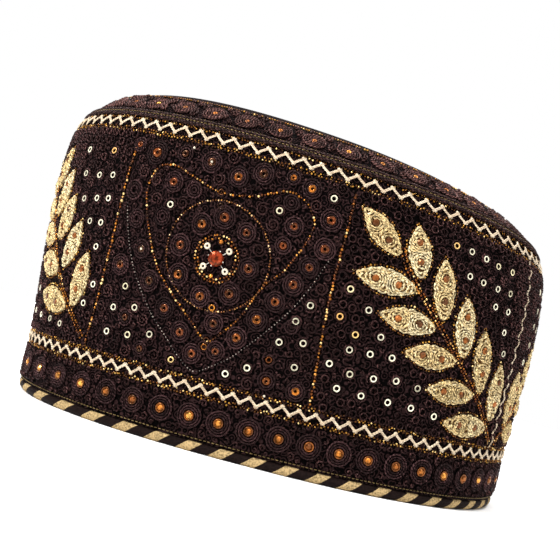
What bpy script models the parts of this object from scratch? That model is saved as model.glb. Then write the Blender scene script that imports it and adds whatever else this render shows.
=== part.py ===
"""A tubeteika skullcap: an oval cloth drum with a domed crown, a striped rim binding and raised embroidery.

Every size is in metres. +Z is up, the rim rests on Z = 0, X runs along the oval's longer side, and the
side that is stitched with the first heart panel faces -Y.

A place on the wall is given by two lengths: "around", measured along the oval from its -Y end towards +X,
and "up", the height above the rim before the crown's tilt is added.
"""

import math

import bmesh
import bpy
import numpy as np
from mathutils import Vector

# The oval plan at the lower braid
HALF_LENGTH = 0.1014
HALF_WIDTH = 0.0823
PLAN_POWER = 2.22

# The cloth drum and its domed crown
WALL_HEIGHT = 0.1069
CLOTH = 0.0026
CROWN_RISE = 0.0147
CROWN_POWER = 7.3

# The soft top stands higher on its -X and -Y sides: the heights that it gains there
LEFT_RISE = 0.0064
FRONT_RISE = 0.0038
CROWN_LEFT_RISE = 0.0036
TOP_LEAN = 0.0021

# Pieces that touch keep this gap
GAP = 0.0003

# The rim binding
PIPING_WIDTH = 0.0043
PIPING_HEIGHT = 0.0036
PIPING_PROUD = 0.0003

# The rolled welt over the crown's seam, its middle a little below the wall's head
WELT_RADIUS = 0.0013
WELT_DROP = 0.0018

# The zigzag braids
BRAID_WIDTH = 0.0010
BRAID_THICKNESS = 0.0008
BRAID_SWING = 0.0026
LOWER_BRAID_PITCH = 0.0058
UPPER_BRAID_PITCH = 0.0064
LOWER_BRAID_HEIGHT = 0.0215
UPPER_BRAID_CLEARANCE = 0.0006
SEAM_BRAID_CLEARANCE = 0.0010

# The row of rosettes above the rim, each with a cut stone, spaced wider on the -X side
ROW_CLEARANCE = 0.0005
ROW_THICKNESS = 0.0008
ROW_TOP_MARGIN = 0.0032
ROSETTE_PITCH = 0.0106
ROSETTE_STRETCH_SHARE = 0.30
STRETCH_MIDDLE = -0.085
STRETCH_REACH = 0.065
ROSETTE_RELIEF = 0.0008
STONE_RADIUS = 0.0017
STONE_RISE = 0.0009
TABLE_RADIUS = 0.0010

# The panels between the braids lie alike on both sides of the seam that the upright braid covers
SEAM_BRAID = 0.1035
PANEL_WIDTH = 0.0823

# The leaf sprays
LEAF_THICKNESS = 0.0009
LEAF_EDGE = 0.0005
LEAF_WIDTH = 0.0092
STEM_WIDTH = 0.0012
STEM_THICKNESS = 0.0007
# The shapes that join in a spray start at stepped heights, so that no two of them share a face
LEAF_STEP = 0.0001

# The jewel in each heart: a cut stone and four pearls on a crossed setting
JEWEL_STONE_RADIUS = 0.0022
JEWEL_STONE_RISE = 0.0016
PEARL_RADIUS = 0.0011
PEARL_SPREAD = 0.0051
PEARL_TURN = 40.0
SETTING_WIDTH = 0.0006
SETTING_THICKNESS = 0.0006

AROUND_STEPS = 54
STEM_STEPS = 9

# The short steps that a face's direction is read over: a length, and a share of the way to the middle
SURFACE_STEP = 0.0005
INWARD_STEP_SHARE = 0.0010

# One row for each level of the wall: its height, its girth, how far it takes up the crown's tilt and
# its lean along X, each as a share
WALL_LEVELS = [
    # height, girth, tilt, lean
    (0.000, 0.985, 0.00, 0.74),
    (0.034, 0.996, 0.00, 0.74),
    (0.199, 1.000, 0.00, 0.74),
    (0.500, 1.021, 0.38, 0.36),
    (0.753, 1.031, 0.74, 0.00),
    (0.875, 1.022, 0.90, -0.16),
    (0.948, 1.003, 1.00, -0.26),
    (1.000, 0.962, 1.04, -0.26),
]

# More levels of the wall's outer face, so that it follows its curve under the embroidery
WALL_BETWEEN = [0.11, 0.30, 0.40, 0.62, 0.81]

# The crown's rings, from its seam to its middle, as shares of the way in
CROWN_RINGS = [0.05, 0.12, 0.22, 0.42]

# The rim binding's section, as shares of its width from its outer side and of its height
PIPING_SECTION = [
    # across, up
    (0.02, 1.00),
    (0.00, 0.60),
    (0.14, 0.22),
    (0.46, 0.00),
    (0.80, 0.00),
    (1.00, 0.35),
    (0.98, 1.00),
]

# The sprays' stems, from foot to tip, as shares of a panel's width and of the height between the braids
STEM_COURSE = [
    # across, up
    (0.045, 0.040),
    (0.245, 0.250),
    (0.450, 0.450),
    (0.640, 0.630),
    (0.705, 0.705),
    (0.745, 0.790),
]

# The leaves of the two sprays on each side of the seam: where the base meets the stem, as a share of
# the stem's way from foot to tip, and the tip as shares of a panel's width and height
NEAR_LEAVES = [
    # base, tip across, tip up
    (0.07, 0.379, 0.084),
    (0.26, 0.501, 0.219),
    (0.44, 0.640, 0.353),
    (0.62, 0.785, 0.488),
    (0.80, 0.917, 0.631),
    (0.99, 0.936, 0.914),
    (0.08, 0.108, 0.431),
    (0.25, 0.272, 0.561),
    (0.42, 0.407, 0.680),
    (0.63, 0.552, 0.813),
    (0.82, 0.697, 0.915),
]
FAR_LEAVES = [
    # base, tip across, tip up
    (0.16, 0.478, 0.195),
    (0.34, 0.560, 0.341),
    (0.51, 0.660, 0.470),
    (0.67, 0.780, 0.600),
    (0.83, 0.890, 0.740),
    (0.99, 0.870, 0.930),
    (0.14, 0.125, 0.414),
    (0.32, 0.210, 0.544),
    (0.49, 0.307, 0.653),
    (0.65, 0.380, 0.772),
    (0.82, 0.500, 0.885),
]

# The four sprays: the side of the seam, how many panels lie between, and the leaves
SPRAYS = [
    # side, panels between, leaves
    (-1, 0, NEAR_LEAVES),
    (-1, 2, FAR_LEAVES),
    (1, 0, NEAR_LEAVES),
    (1, 2, FAR_LEAVES),
]

# The three heart panels: the side of the seam and how far the jewel lies from the seam, in panel widths;
# the last one is the wider panel opposite the seam
JEWELS = [(-1, 1.48), (1, 1.48), (1, 3.58)]
JEWEL_UP_SHARE = 0.520

# The materials: colour, roughness, metallic
FINISHES = {
    "dark_cloth": ((0.030, 0.017, 0.018), 0.85, 0.0),
    "ivory_thread": ((0.760, 0.640, 0.420), 0.60, 0.0),
    "striped_binding": ((0.420, 0.340, 0.200), 0.60, 0.0),
    "dark_rosettes": ((0.050, 0.025, 0.022), 0.70, 0.0),
    "jewel": ((0.600, 0.130, 0.060), 0.15, 0.2),
}


def plan_table(steps=2880):
    """The oval's points at even turns and the length along it to each, from the -Y end."""
    turn = np.linspace(0.0, 2 * math.pi, steps + 1)
    across, along = np.sin(turn), -np.cos(turn)
    power = 2.0 / PLAN_POWER
    points = np.stack(
        [
            HALF_LENGTH * np.sign(across) * np.abs(across) ** power,
            HALF_WIDTH * np.sign(along) * np.abs(along) ** power,
        ],
        axis=1,
    )
    lengths = np.concatenate([[0.0], np.cumsum(np.linalg.norm(np.diff(points, axis=0), axis=1))])
    return points, lengths


PLAN_POINTS, PLAN_LENGTHS = plan_table()
GIRTH = float(PLAN_LENGTHS[-1])

# The welt follows the wall's head, and the upper braid lies under the welt
WELT_HEIGHT = WALL_HEIGHT - WELT_DROP
UPPER_BRAID_HEIGHT = WELT_HEIGHT - WELT_RADIUS - UPPER_BRAID_CLEARANCE - 0.5 * (BRAID_SWING + BRAID_WIDTH)


def plan(around):
    """The oval's point at a length around it."""
    place = around % GIRTH
    return (
        float(np.interp(place, PLAN_LENGTHS, PLAN_POINTS[:, 0])),
        float(np.interp(place, PLAN_LENGTHS, PLAN_POINTS[:, 1])),
    )


def level_curve(column):
    """The heights, values and slopes of a column of WALL_LEVELS."""
    rows = np.array(WALL_LEVELS)
    at, values = rows[:, 0], rows[:, column]
    runs = np.diff(values) / np.diff(at)
    before, after = runs[:-1], runs[1:]
    same_way = before * after > 0
    means = np.where(same_way, 2 * before * after / np.where(same_way, before + after, 1.0), 0.0)
    return at, values, np.concatenate([runs[:1], means, runs[-1:]])


LEVEL_CURVES = {column: level_curve(column) for column in (1, 2, 3)}


def eased(share, column):
    """A column of WALL_LEVELS at a height share, on a smooth curve that never swings past its rows."""
    at, values, slopes = LEVEL_CURVES[column]
    i = int(np.clip(np.searchsorted(at, share) - 1, 0, len(at) - 2))
    span = at[i + 1] - at[i]
    u = (share - at[i]) / span
    return float(
        values[i] * (1 + 2 * u) * (1 - u) ** 2
        + values[i + 1] * u * u * (3 - 2 * u)
        + span * (slopes[i] * u * (1 - u) ** 2 - slopes[i + 1] * u * u * (1 - u))
    )


def tilt(x, y):
    """How much higher the soft top stands at this place than at its middle."""
    return -LEFT_RISE * x / HALF_LENGTH - FRONT_RISE * y / HALF_WIDTH


def wall_point(around, up):
    """A point on the wall's outer face."""
    share = up / WALL_HEIGHT
    x, y = plan(around)
    girth = eased(share, 1)
    x, y = x * girth, y * girth
    return Vector((x + TOP_LEAN * eased(share, 3), y, up + eased(share, 2) * tilt(x, y)))


def crown_point(around, inward):
    """A point on the crown's outer face, inward being its share of the way from the seam to the middle."""
    edge = WALL_LEVELS[-1]
    x, y = plan(around)
    x, y = x * edge[1] * (1 - inward), y * edge[1] * (1 - inward)
    dome = 1 - (1 - inward) ** CROWN_POWER
    rise = dome * (CROWN_RISE - CROWN_LEFT_RISE * x / HALF_LENGTH)
    return Vector((x + TOP_LEAN * edge[3], y, WALL_HEIGHT + edge[2] * tilt(x, y) + rise))


def outward(point_at, around, level, level_step=SURFACE_STEP):
    """The outward direction of a face that point_at gives, from its steps around and up or inward."""
    along = point_at(around + SURFACE_STEP, level) - point_at(around - SURFACE_STEP, level)
    rise = point_at(around, level + level_step) - point_at(around, level - level_step)
    return along.cross(rise).normalized()


def wall_offset(around, up, proud):
    """A point that stands proud of the wall's outer face by this much."""
    return wall_point(around, up) + outward(wall_point, around, up) * proud


def crown_offset(around, inward, proud):
    """A point that stands proud of the crown's outer face by this much."""
    level = max(inward, INWARD_STEP_SHARE)
    return crown_point(around, inward) + outward(crown_point, around, level, INWARD_STEP_SHARE) * proud


def stations(count=AROUND_STEPS):
    """Lengths around the oval, evenly spaced."""
    return [GIRTH * i / count for i in range(count)]


def finish(name, mesh_data, slot):
    """Makes the named object from a bmesh and gives it its material."""
    bmesh.ops.recalc_face_normals(mesh_data, faces=mesh_data.faces)
    bmesh.ops.triangulate(mesh_data, faces=mesh_data.faces)
    mesh = bpy.data.meshes.new(name)
    mesh_data.to_mesh(mesh)
    mesh_data.free()
    obj = bpy.data.objects.new(name, mesh)
    bpy.context.scene.collection.objects.link(obj)
    mesh.materials.append(material(slot))
    mesh.shade_smooth()
    mesh.set_sharp_from_angle(angle=math.radians(40))
    return obj


def material(slot):
    """The Principled material of a slot, made once."""
    made = bpy.data.materials.get(slot)
    if made:
        return made
    colour, roughness, metallic = FINISHES[slot]
    made = bpy.data.materials.new(slot)
    made.use_nodes = True
    shader = made.node_tree.nodes["Principled BSDF"]
    shader.inputs["Base Color"].default_value = (*colour, 1.0)
    shader.inputs["Roughness"].default_value = roughness
    shader.inputs["Metallic"].default_value = metallic
    made.diffuse_color = (*colour, 1.0)
    return made


def loop_of(sections, closed):
    """A bmesh that joins equal section loops one to the next: a ring if closed, else a bar with end caps."""
    made = bmesh.new()
    rings = [[made.verts.new(point) for point in section] for section in sections]
    pairs = list(zip(rings, rings[1:] + rings[:1])) if closed else list(zip(rings, rings[1:]))
    for here, there in pairs:
        for a in range(len(here)):
            b = (a + 1) % len(here)
            made.faces.new((here[a], there[a], there[b], here[b]))
    if not closed:
        made.faces.new(rings[0])
        made.faces.new(rings[-1])
    return made


def wall():
    """The drum's cloth wall, open at both ends."""
    foot = (PIPING_HEIGHT + GAP) / WALL_HEIGHT
    head = 1 - GAP / WALL_HEIGHT
    rows = [row[0] for row in WALL_LEVELS if foot + 0.05 < row[0] < 0.99]
    outer_shares = [foot] + sorted(rows + WALL_BETWEEN) + [head]
    inner_shares = [foot] + rows + [head]
    sections = []
    for around in stations():
        outer = [wall_point(around, share * WALL_HEIGHT) for share in outer_shares]
        inner = [wall_offset(around, share * WALL_HEIGHT, -CLOTH) for share in inner_shares]
        # The foot is cut level, so that it seats on the binding
        inner[0].z = outer[0].z
        sections.append(outer + inner[::-1])
    return finish("wall", loop_of(sections, closed=True), "dark_cloth")


def crown():
    """The crown's cloth dome, which meets the wall's head."""
    made = bmesh.new()
    seam = 0.5 * GAP / HALF_WIDTH
    faces = []
    for proud in (0.0, -CLOTH):
        loops = [
            [made.verts.new(crown_offset(around, ring, proud)) for around in stations()]
            for ring in [seam] + CROWN_RINGS
        ]
        middle = made.verts.new(crown_point(0.0, 1.0) + Vector((0.0, 0.0, proud)))
        faces.append((loops, middle))
    (outer, top), (inner, under) = faces
    bands = list(zip(outer, outer[1:])) + list(zip(inner, inner[1:])) + [(outer[0], inner[0])]
    for here, there in bands:
        for a in range(AROUND_STEPS):
            b = (a + 1) % AROUND_STEPS
            made.faces.new((here[a], here[b], there[b], there[a]))
    for loop, centre in ((outer[-1], top), (inner[-1], under)):
        for a in range(AROUND_STEPS):
            made.faces.new((loop[a], loop[(a + 1) % AROUND_STEPS], centre))
    return finish("crown", made, "dark_cloth")


def crown_welt():
    """The rolled welt that covers the crown's seam on the outside."""
    sides = 6
    sections = []
    for around in stations():
        out = outward(wall_point, around, WELT_HEIGHT)
        centre = wall_point(around, WELT_HEIGHT) + out * (WELT_RADIUS + GAP)
        rise = wall_point(around, WELT_HEIGHT + GAP) - wall_point(around, WELT_HEIGHT - GAP)
        rise.normalize()
        sections.append(
            [
                centre
                + out * (WELT_RADIUS * math.cos(2 * math.pi * side / sides))
                + rise * (WELT_RADIUS * math.sin(2 * math.pi * side / sides))
                for side in range(sides)
            ]
        )
    return finish("crown_welt", loop_of(sections, closed=True), "dark_cloth")


def rim_piping():
    """The folded binding under the wall's foot, flat where it rests."""
    sections = []
    for around in stations():
        seat = wall_point(around, PIPING_HEIGHT + GAP)
        out = outward(wall_point, around, PIPING_HEIGHT + GAP)
        out.z = 0.0
        out.normalize()
        sections.append(
            [
                Vector((seat.x, seat.y, PIPING_HEIGHT * up)) + out * (PIPING_PROUD - PIPING_WIDTH * across)
                for across, up in PIPING_SECTION
            ]
        )
    return finish("rim_piping", loop_of(sections, closed=True), "striped_binding")


def braid_section(around, up, next_around, next_up, last_around, last_up):
    """A braid's ridged section at one turn of its zigzag, mitred between its two runs."""
    before = Vector((around - last_around, up - last_up))
    after = Vector((next_around - around, next_up - up))
    before.normalize()
    after.normalize()
    along = (before + after).normalized()
    side = Vector((-along.y, along.x))
    half = 0.5 * BRAID_WIDTH / max(side.dot(Vector((-before.y, before.x))), 0.35)
    section = []
    for across, proud in ((1, 0), (0, 1), (-1, 0)):
        section.append(
            wall_offset(
                around + side.x * half * across,
                up + side.y * half * across,
                GAP + BRAID_THICKNESS * proud,
            )
        )
    return section


def ring_zigzag(name, height, pitch):
    """A zigzag braid that runs right round the wall at one height."""
    turns = 2 * round(GIRTH / pitch)
    step = GIRTH / turns
    path = [(step * i, height + BRAID_SWING / 2 * (1 if i % 2 else -1)) for i in range(-1, turns + 1)]
    sections = [
        braid_section(*path[i], *path[i + 1], *path[i - 1]) for i in range(1, turns + 1)
    ]
    return finish(name, loop_of(sections, closed=True), "ivory_thread")


def seam_zigzag():
    """The upright braid over the side seam, between the two ring braids."""
    reach = BRAID_SWING / 2 + BRAID_WIDTH + SEAM_BRAID_CLEARANCE
    low, high = LOWER_BRAID_HEIGHT + reach, UPPER_BRAID_HEIGHT - reach
    turns = 2 * round((high - low) / LOWER_BRAID_PITCH)
    step = (high - low) / turns
    path = [(SEAM_BRAID + BRAID_SWING / 2 * (1 if i % 2 else -1), low + step * i) for i in range(-1, turns + 2)]
    sections = [
        braid_section(*path[i], *path[i + 1], *path[i - 1]) for i in range(1, turns + 2)
    ]
    return finish("seam_zigzag", loop_of(sections, closed=False), "ivory_thread")


def rosette_places():
    """The lengths around the oval at which the row's cells begin: wider cells near STRETCH_MIDDLE."""
    around = np.linspace(0.0, GIRTH, 1200)
    away = (around - STRETCH_MIDDLE + 0.5 * GIRTH) % GIRTH - 0.5 * GIRTH
    spacing = ROSETTE_PITCH * (1 + ROSETTE_STRETCH_SHARE * np.exp(-((away / STRETCH_REACH) ** 2)))
    passed = np.concatenate([[0.0], np.cumsum(np.diff(around) / (0.5 * (spacing[1:] + spacing[:-1])))])
    count = round(passed[-1])
    return [float(place) for place in np.interp(np.arange(count + 1) * passed[-1] / count, passed, around)]


def rosette_row():
    """The stitched band above the rim: one raised rosette after another, each with a cut stone."""
    low = PIPING_HEIGHT + GAP + ROW_CLEARANCE
    high = LOWER_BRAID_HEIGHT - ROW_TOP_MARGIN
    places = rosette_places()
    count = len(places) - 1
    middle = 0.5 * (low + high)
    below = [(0.0, low), (0.5, low), (1.0, low), (1.0, middle)]
    above = [(1.0, high), (0.5, high), (0.0, high), (0.0, middle)]
    rim = below + above
    turns = [math.radians(45 * i + 225) for i in range(8)]
    # Each ring of a stone: its radius and how proud it stands of the wall
    face = GAP + ROW_THICKNESS
    rings = [
        (STONE_RADIUS, face + ROSETTE_RELIEF),
        (TABLE_RADIUS, face + ROSETTE_RELIEF + STONE_RISE),
    ]
    made = bmesh.new()
    shared = {}

    def corner(cell, share, up, proud):
        """The vertex on a cell's rim, shared with the cell beside it."""
        key = (round(2 * (cell + share)) % (2 * count), round(up, 6), proud)
        if key not in shared:
            around = places[cell] * (1 - share) + places[cell + 1] * share
            shared[key] = made.verts.new(wall_offset(around, up, proud))
        return shared[key]

    for cell in range(count):
        front = [corner(cell, share, up, face) for share, up in rim]
        back = [corner(cell, share, up, GAP) for share, up in rim]
        last = front
        centre = 0.5 * (places[cell] + places[cell + 1])
        for radius, proud in rings:
            ring = [
                made.verts.new(
                    wall_offset(
                        centre + radius * math.cos(turn),
                        middle + radius * math.sin(turn),
                        proud,
                    )
                )
                for turn in turns
            ]
            for a in range(8):
                b = (a + 1) % 8
                made.faces.new((last[a], last[b], ring[b], ring[a]))
            last = ring
        made.faces.new(last)
        made.faces.new((back[0], back[7], back[6], back[5], back[1]))
        made.faces.new((back[1], back[5], back[4], back[3], back[2]))
        for a, b in ((0, 1), (1, 2), (4, 5), (5, 6)):
            made.faces.new((front[a], front[b], back[b], back[a]))
    return finish("rosette_row", made, "dark_rosettes")


def panel_place(side, panels, up):
    """Length around and height of a place between the ring braids, so many panel widths from the seam."""
    reach = BRAID_SWING / 2 + BRAID_WIDTH
    low, high = LOWER_BRAID_HEIGHT + reach, UPPER_BRAID_HEIGHT - reach
    return SEAM_BRAID + side * PANEL_WIDTH * panels, low + (high - low) * up


def stem_share(share):
    """The place on a stem's course at a share of its way, as shares of the panel."""
    course = np.array(STEM_COURSE)
    passed = np.concatenate([[0.0], np.cumsum(np.linalg.norm(np.diff(course, axis=0), axis=1))])
    way = share * passed[-1]
    return float(np.interp(way, passed, course[:, 0])), float(np.interp(way, passed, course[:, 1]))


def leaf_shape(base, tip, width, foot):
    """A leaf's bmesh: a pointed oval with a raised middle rib, bent to the wall, foot above its face."""
    # The leaf's stations: their share of its length, of its half width, and of its raised middle
    rows = ((0.00, 0.00, 0.55), (0.22, 0.78, 0.90), (0.55, 1.00, 1.00), (0.82, 0.58, 0.85), (1.00, 0.00, 0.55))
    run = Vector(tip) - Vector(base)
    side = Vector((-run.y, run.x)).normalized()
    made = bmesh.new()
    levels = []
    for proud_edge, proud_middle in ((foot, foot), (foot + LEAF_EDGE, foot + LEAF_THICKNESS)):
        lines = []
        for share, spread, swell in rows:
            spine = Vector(base) + run * share
            rib = proud_edge + (proud_middle - proud_edge) * swell
            if spread == 0:
                lines.append([made.verts.new(wall_offset(spine.x, spine.y, rib))])
                continue
            line = []
            for across in (-1, 0, 1):
                spot = spine + side * (0.5 * width * spread * across)
                line.append(made.verts.new(wall_offset(spot.x, spot.y, proud_edge if across else rib)))
            lines.append(line)
        levels.append(lines)
    for lines in levels:
        for here, there in zip(lines, lines[1:]):
            if len(here) == 1:
                made.faces.new((here[0], there[0], there[1]))
                made.faces.new((here[0], there[1], there[2]))
            elif len(there) == 1:
                made.faces.new((here[0], here[1], there[0]))
                made.faces.new((here[1], here[2], there[0]))
            else:
                made.faces.new((here[0], here[1], there[1], there[0]))
                made.faces.new((here[1], here[2], there[2], there[1]))
    below, above = levels
    for edge in (0, -1):
        for i in range(len(rows) - 1):
            made.faces.new((below[i][edge], below[i + 1][edge], above[i + 1][edge], above[i][edge]))
    return made


def stem_shape(side, between):
    """A stem's bmesh: a flat bar along the stem's course."""
    course = []
    for i in range(STEM_STEPS + 1):
        across, up = stem_share(i / STEM_STEPS)
        course.append(Vector(panel_place(side, between + across, up)))
    sections = []
    for i, spot in enumerate(course):
        ahead, behind = course[min(i + 1, len(course) - 1)], course[max(i - 1, 0)]
        run = (ahead - behind).normalized()
        edge = Vector((-run.y, run.x)) * (0.5 * STEM_WIDTH)
        sections.append(
            [
                wall_offset(spot.x + edge.x * across, spot.y + edge.y * across, GAP + STEM_THICKNESS * proud)
                for across, proud in ((1, 0), (1, 1), (-1, 1), (-1, 0))
            ]
        )
    return loop_of(sections, closed=False)


def helper(name, shape, collection):
    """A shape that a Boolean joins, kept out of the render."""
    bmesh.ops.recalc_face_normals(shape, faces=shape.faces)
    mesh = bpy.data.meshes.new(name)
    shape.to_mesh(mesh)
    shape.free()
    obj = bpy.data.objects.new(name, mesh)
    collection.objects.link(obj)
    obj.hide_render = True
    obj.display_type = "WIRE"
    return obj


def join_helpers(obj, collection):
    """Unites an object with every helper of a collection."""
    joined = obj.modifiers.new("join", "BOOLEAN")
    joined.operation = "UNION"
    joined.operand_type = "COLLECTION"
    joined.collection = collection
    joined.solver = "EXACT"


def helper_collection(name):
    made = bpy.data.collections.new(name)
    bpy.context.scene.collection.children.link(made)
    return made


def leaf_spray(number, side, between, leaves):
    """A branch of padded leaves on their stem, as one piece."""
    parts = helper_collection(f"leaves_{number}")
    for i, (base_share, tip_across, tip_up) in enumerate(leaves):
        base_across, base_up = stem_share(base_share)
        base = panel_place(side, between + base_across, base_up)
        tip = panel_place(side, between + tip_across, tip_up)
        foot = GAP + LEAF_STEP * (1 + i % 3)
        helper(f"leaf_{number}_{i + 1}", leaf_shape(base, tip, LEAF_WIDTH, foot), parts)
    spray = finish(f"leaf_spray_{number}", stem_shape(side, between), "ivory_thread")
    join_helpers(spray, parts)
    return spray


def place_on_wall(shape, around, up, proud):
    """Moves a shape, built flat about the origin with +Z outward, to its place on the wall."""
    out = outward(wall_point, around, up)
    along = (wall_point(around + GAP, up) - wall_point(around - GAP, up)).normalized()
    rise = out.cross(along)
    seat = wall_offset(around, up, proud)
    for vert in shape.verts:
        vert.co = seat + along * vert.co.x + rise * vert.co.y + out * vert.co.z


def cut_stone(radius, table, foot, rise, sides=10):
    """A stone's bmesh: a girdle wall, a ring of facets and a flat table."""
    made = bmesh.new()
    bmesh.ops.create_cone(
        made, cap_ends=True, segments=sides, radius1=radius, radius2=radius, depth=foot
    )
    bmesh.ops.translate(made, verts=made.verts, vec=(0, 0, foot / 2))
    top = max(made.faces, key=lambda face: face.calc_center_median().z)
    raised = bmesh.ops.extrude_face_region(made, geom=[top])
    bmesh.ops.delete(made, geom=[top], context="FACES_ONLY")
    for vert in (v for v in raised["geom"] if isinstance(v, bmesh.types.BMVert)):
        vert.co = (vert.co.x * table / radius, vert.co.y * table / radius, vert.co.z + rise)
    return made


def setting_bar(turn):
    """One bar of the crossed setting, from pearl to pearl."""
    made = bmesh.new()
    bmesh.ops.create_cube(made, size=1.0)
    along, side = Vector((math.cos(turn), math.sin(turn))), Vector((-math.sin(turn), math.cos(turn)))
    for vert in made.verts:
        spot = along * (2 * vert.co.x * PEARL_SPREAD) + side * (vert.co.y * SETTING_WIDTH)
        vert.co = (spot.x, spot.y, (vert.co.z + 0.5) * SETTING_THICKNESS)
    return made


def heart_jewel(number, side, panels):
    """A heart's jewel: a cut stone in the middle of four pearls, on one crossed setting."""
    around, up = panel_place(side, panels, JEWEL_UP_SHARE)
    parts = helper_collection(f"jewel_parts_{number}")
    # The setting is flat and the wall is round, so it stands off by half of the wall's bow under it
    bow = (PEARL_SPREAD + PEARL_RADIUS) ** 2 / (2 * HALF_WIDTH)
    proud = GAP + 0.5 * bow
    turns = [math.radians(degrees) for degrees in (PEARL_TURN, -PEARL_TURN, PEARL_TURN + 180, 180 - PEARL_TURN)]
    for i, turn in enumerate(turns[:2], start=1):
        bar = setting_bar(turn)
        place_on_wall(bar, around, up, proud)
        helper(f"bar_{number}_{i}", bar, parts)
    for i, turn in enumerate(turns, start=1):
        pearl = cut_stone(PEARL_RADIUS, PEARL_RADIUS * 0.55, SETTING_THICKNESS, PEARL_RADIUS * 0.8, sides=8)
        bmesh.ops.translate(
            pearl, verts=pearl.verts, vec=(PEARL_SPREAD * math.cos(turn), PEARL_SPREAD * math.sin(turn), 0)
        )
        place_on_wall(pearl, around, up, proud)
        helper(f"pearl_{number}_{i}", pearl, parts)
    stone = cut_stone(
        JEWEL_STONE_RADIUS, JEWEL_STONE_RADIUS * 0.6, 1.5 * SETTING_THICKNESS, 0.5 * JEWEL_STONE_RISE
    )
    place_on_wall(stone, around, up, proud)
    jewel = finish(f"heart_jewel_{number}", stone, "jewel")
    join_helpers(jewel, parts)
    return jewel


def build():
    """The whole cap."""
    for obj in list(bpy.data.objects):
        bpy.data.objects.remove(obj)
    wall()
    crown()
    crown_welt()
    rim_piping()
    ring_zigzag("lower_zigzag", LOWER_BRAID_HEIGHT, LOWER_BRAID_PITCH)
    ring_zigzag("upper_zigzag", UPPER_BRAID_HEIGHT, UPPER_BRAID_PITCH)
    seam_zigzag()
    rosette_row()
    for number, (side, between, leaves) in enumerate(SPRAYS, start=1):
        leaf_spray(number, side, between, leaves)
    for number, (side, panels) in enumerate(JEWELS, start=1):
        heart_jewel(number, side, panels)


build()
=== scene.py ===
"""The looks of a tubeteika skullcap: dark looped cord, ivory leaf sprays, beaded hearts and stones.

Sizes are in metres unless a name or a comment says millimetres. A place on the cap is given by two lengths:
"around", along the oval from its -Y end towards +X, and "level", the height on the wall or the way in from
the crown's seam. The embroidery is charted in millimetres, as its motifs repeat on every panel.
"""

import math

import bpy
import numpy as np
from mathutils import Matrix, Vector


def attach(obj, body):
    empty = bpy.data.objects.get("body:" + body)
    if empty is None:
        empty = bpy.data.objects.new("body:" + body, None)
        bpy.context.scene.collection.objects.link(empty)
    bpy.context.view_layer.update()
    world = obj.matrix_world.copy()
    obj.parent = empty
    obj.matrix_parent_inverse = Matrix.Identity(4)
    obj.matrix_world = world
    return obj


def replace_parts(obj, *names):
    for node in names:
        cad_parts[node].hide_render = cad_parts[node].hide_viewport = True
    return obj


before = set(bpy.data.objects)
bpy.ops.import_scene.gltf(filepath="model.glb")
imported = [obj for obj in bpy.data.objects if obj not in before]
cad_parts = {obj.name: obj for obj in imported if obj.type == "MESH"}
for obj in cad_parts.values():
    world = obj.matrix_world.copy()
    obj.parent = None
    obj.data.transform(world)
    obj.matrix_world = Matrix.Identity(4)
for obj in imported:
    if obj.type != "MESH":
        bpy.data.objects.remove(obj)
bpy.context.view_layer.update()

MM = 0.001

# The cap's shape, as its solids have it
HALF_LENGTH = 0.1014
HALF_WIDTH = 0.0823
PLAN_POWER = 2.22
WALL_HEIGHT = 0.1069
CLOTH = 0.0026
SUNK = 0.0008
CROWN_RISE = 0.0147
CROWN_POWER = 7.3
LEFT_RISE = 0.0064
FRONT_RISE = 0.0038
CROWN_LEFT_RISE = 0.0036
TOP_LEAN = 0.0021
PIPING_HEIGHT = 0.0036
PIPING_WIDTH = 0.0043
PIPING_PROUD = 0.0003
GAP = 0.0003

WALL_LEVELS = [
    # height, girth, tilt, lean
    (0.000, 0.985, 0.00, 0.74),
    (0.034, 0.996, 0.00, 0.74),
    (0.199, 1.000, 0.00, 0.74),
    (0.500, 1.021, 0.38, 0.36),
    (0.753, 1.031, 0.74, 0.00),
    (0.875, 1.022, 0.90, -0.16),
    (0.948, 1.003, 1.00, -0.26),
    (1.000, 0.962, 1.04, -0.26),
]

# The binding's section: the way in from its outer face and the way up, as shares of its width and height
BINDING_SECTION = [
    (0.06, 1.00), (0.00, 0.80), (0.00, 0.55), (0.07, 0.32), (0.20, 0.13), (0.38, 0.02), (0.50, 0.00),
    (0.78, 0.00), (0.92, 0.12), (1.00, 0.35), (1.00, 0.80), (0.95, 1.00),
]

# The bands of embroidery
WELT_HEIGHT = 0.1051
UPPER_BRAID = 0.1010
LOWER_BRAID = 0.0215
UPPER_BRAID_PITCH = 0.0064
LOWER_BRAID_PITCH = 0.0058
BRAID_SWING = 0.0022
BRAID_MARGIN = 3.3 * MM
BRAID_BEAD_ROWS = (2.05, 2.85, -2.05, -2.85)
ROW_HEIGHT = 0.0117
ROW_PITCH = 0.0106
STRIPE_PITCH = 0.0113
STRIPE_START = 0.41
THREAD_LINE = 0.0048
CROWN_ROW = 0.0033
CROWN_LINE = 0.0086
CROWN_ROW_PITCH = 0.0137
CORD_PITCH = 0.92 * MM
GOLD_LINES = [
    # level, height over the face
    (WELT_HEIGHT - 0.22 * MM, 1.35 * MM),
    (WELT_HEIGHT + 1.35 * MM, 0.95 * MM),
    (THREAD_LINE, 0.35 * MM),
]

# The panels lie alike on both sides of the seam: millimetres from it, and above the rim
SEAM = 0.1035
PANEL_WIDTH = 0.0823
FAR_PANEL = 2 * PANEL_WIDTH / MM
JEWEL_UP = 63.0
HEARTS = [(-1, 121.7), (1, 121.7), (1, 294.6)]
DIVIDERS = [
    [(80.5, 96.0), (81.8, 60.0), (80.2, 25.6)],
    [(162.0, 92.0), (163.2, 60.0), (164.5, 44.0), (167.0, 26.0)],
    [(246.9, 96.0), (247.4, 60.0), (246.9, 25.6)],
]

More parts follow.
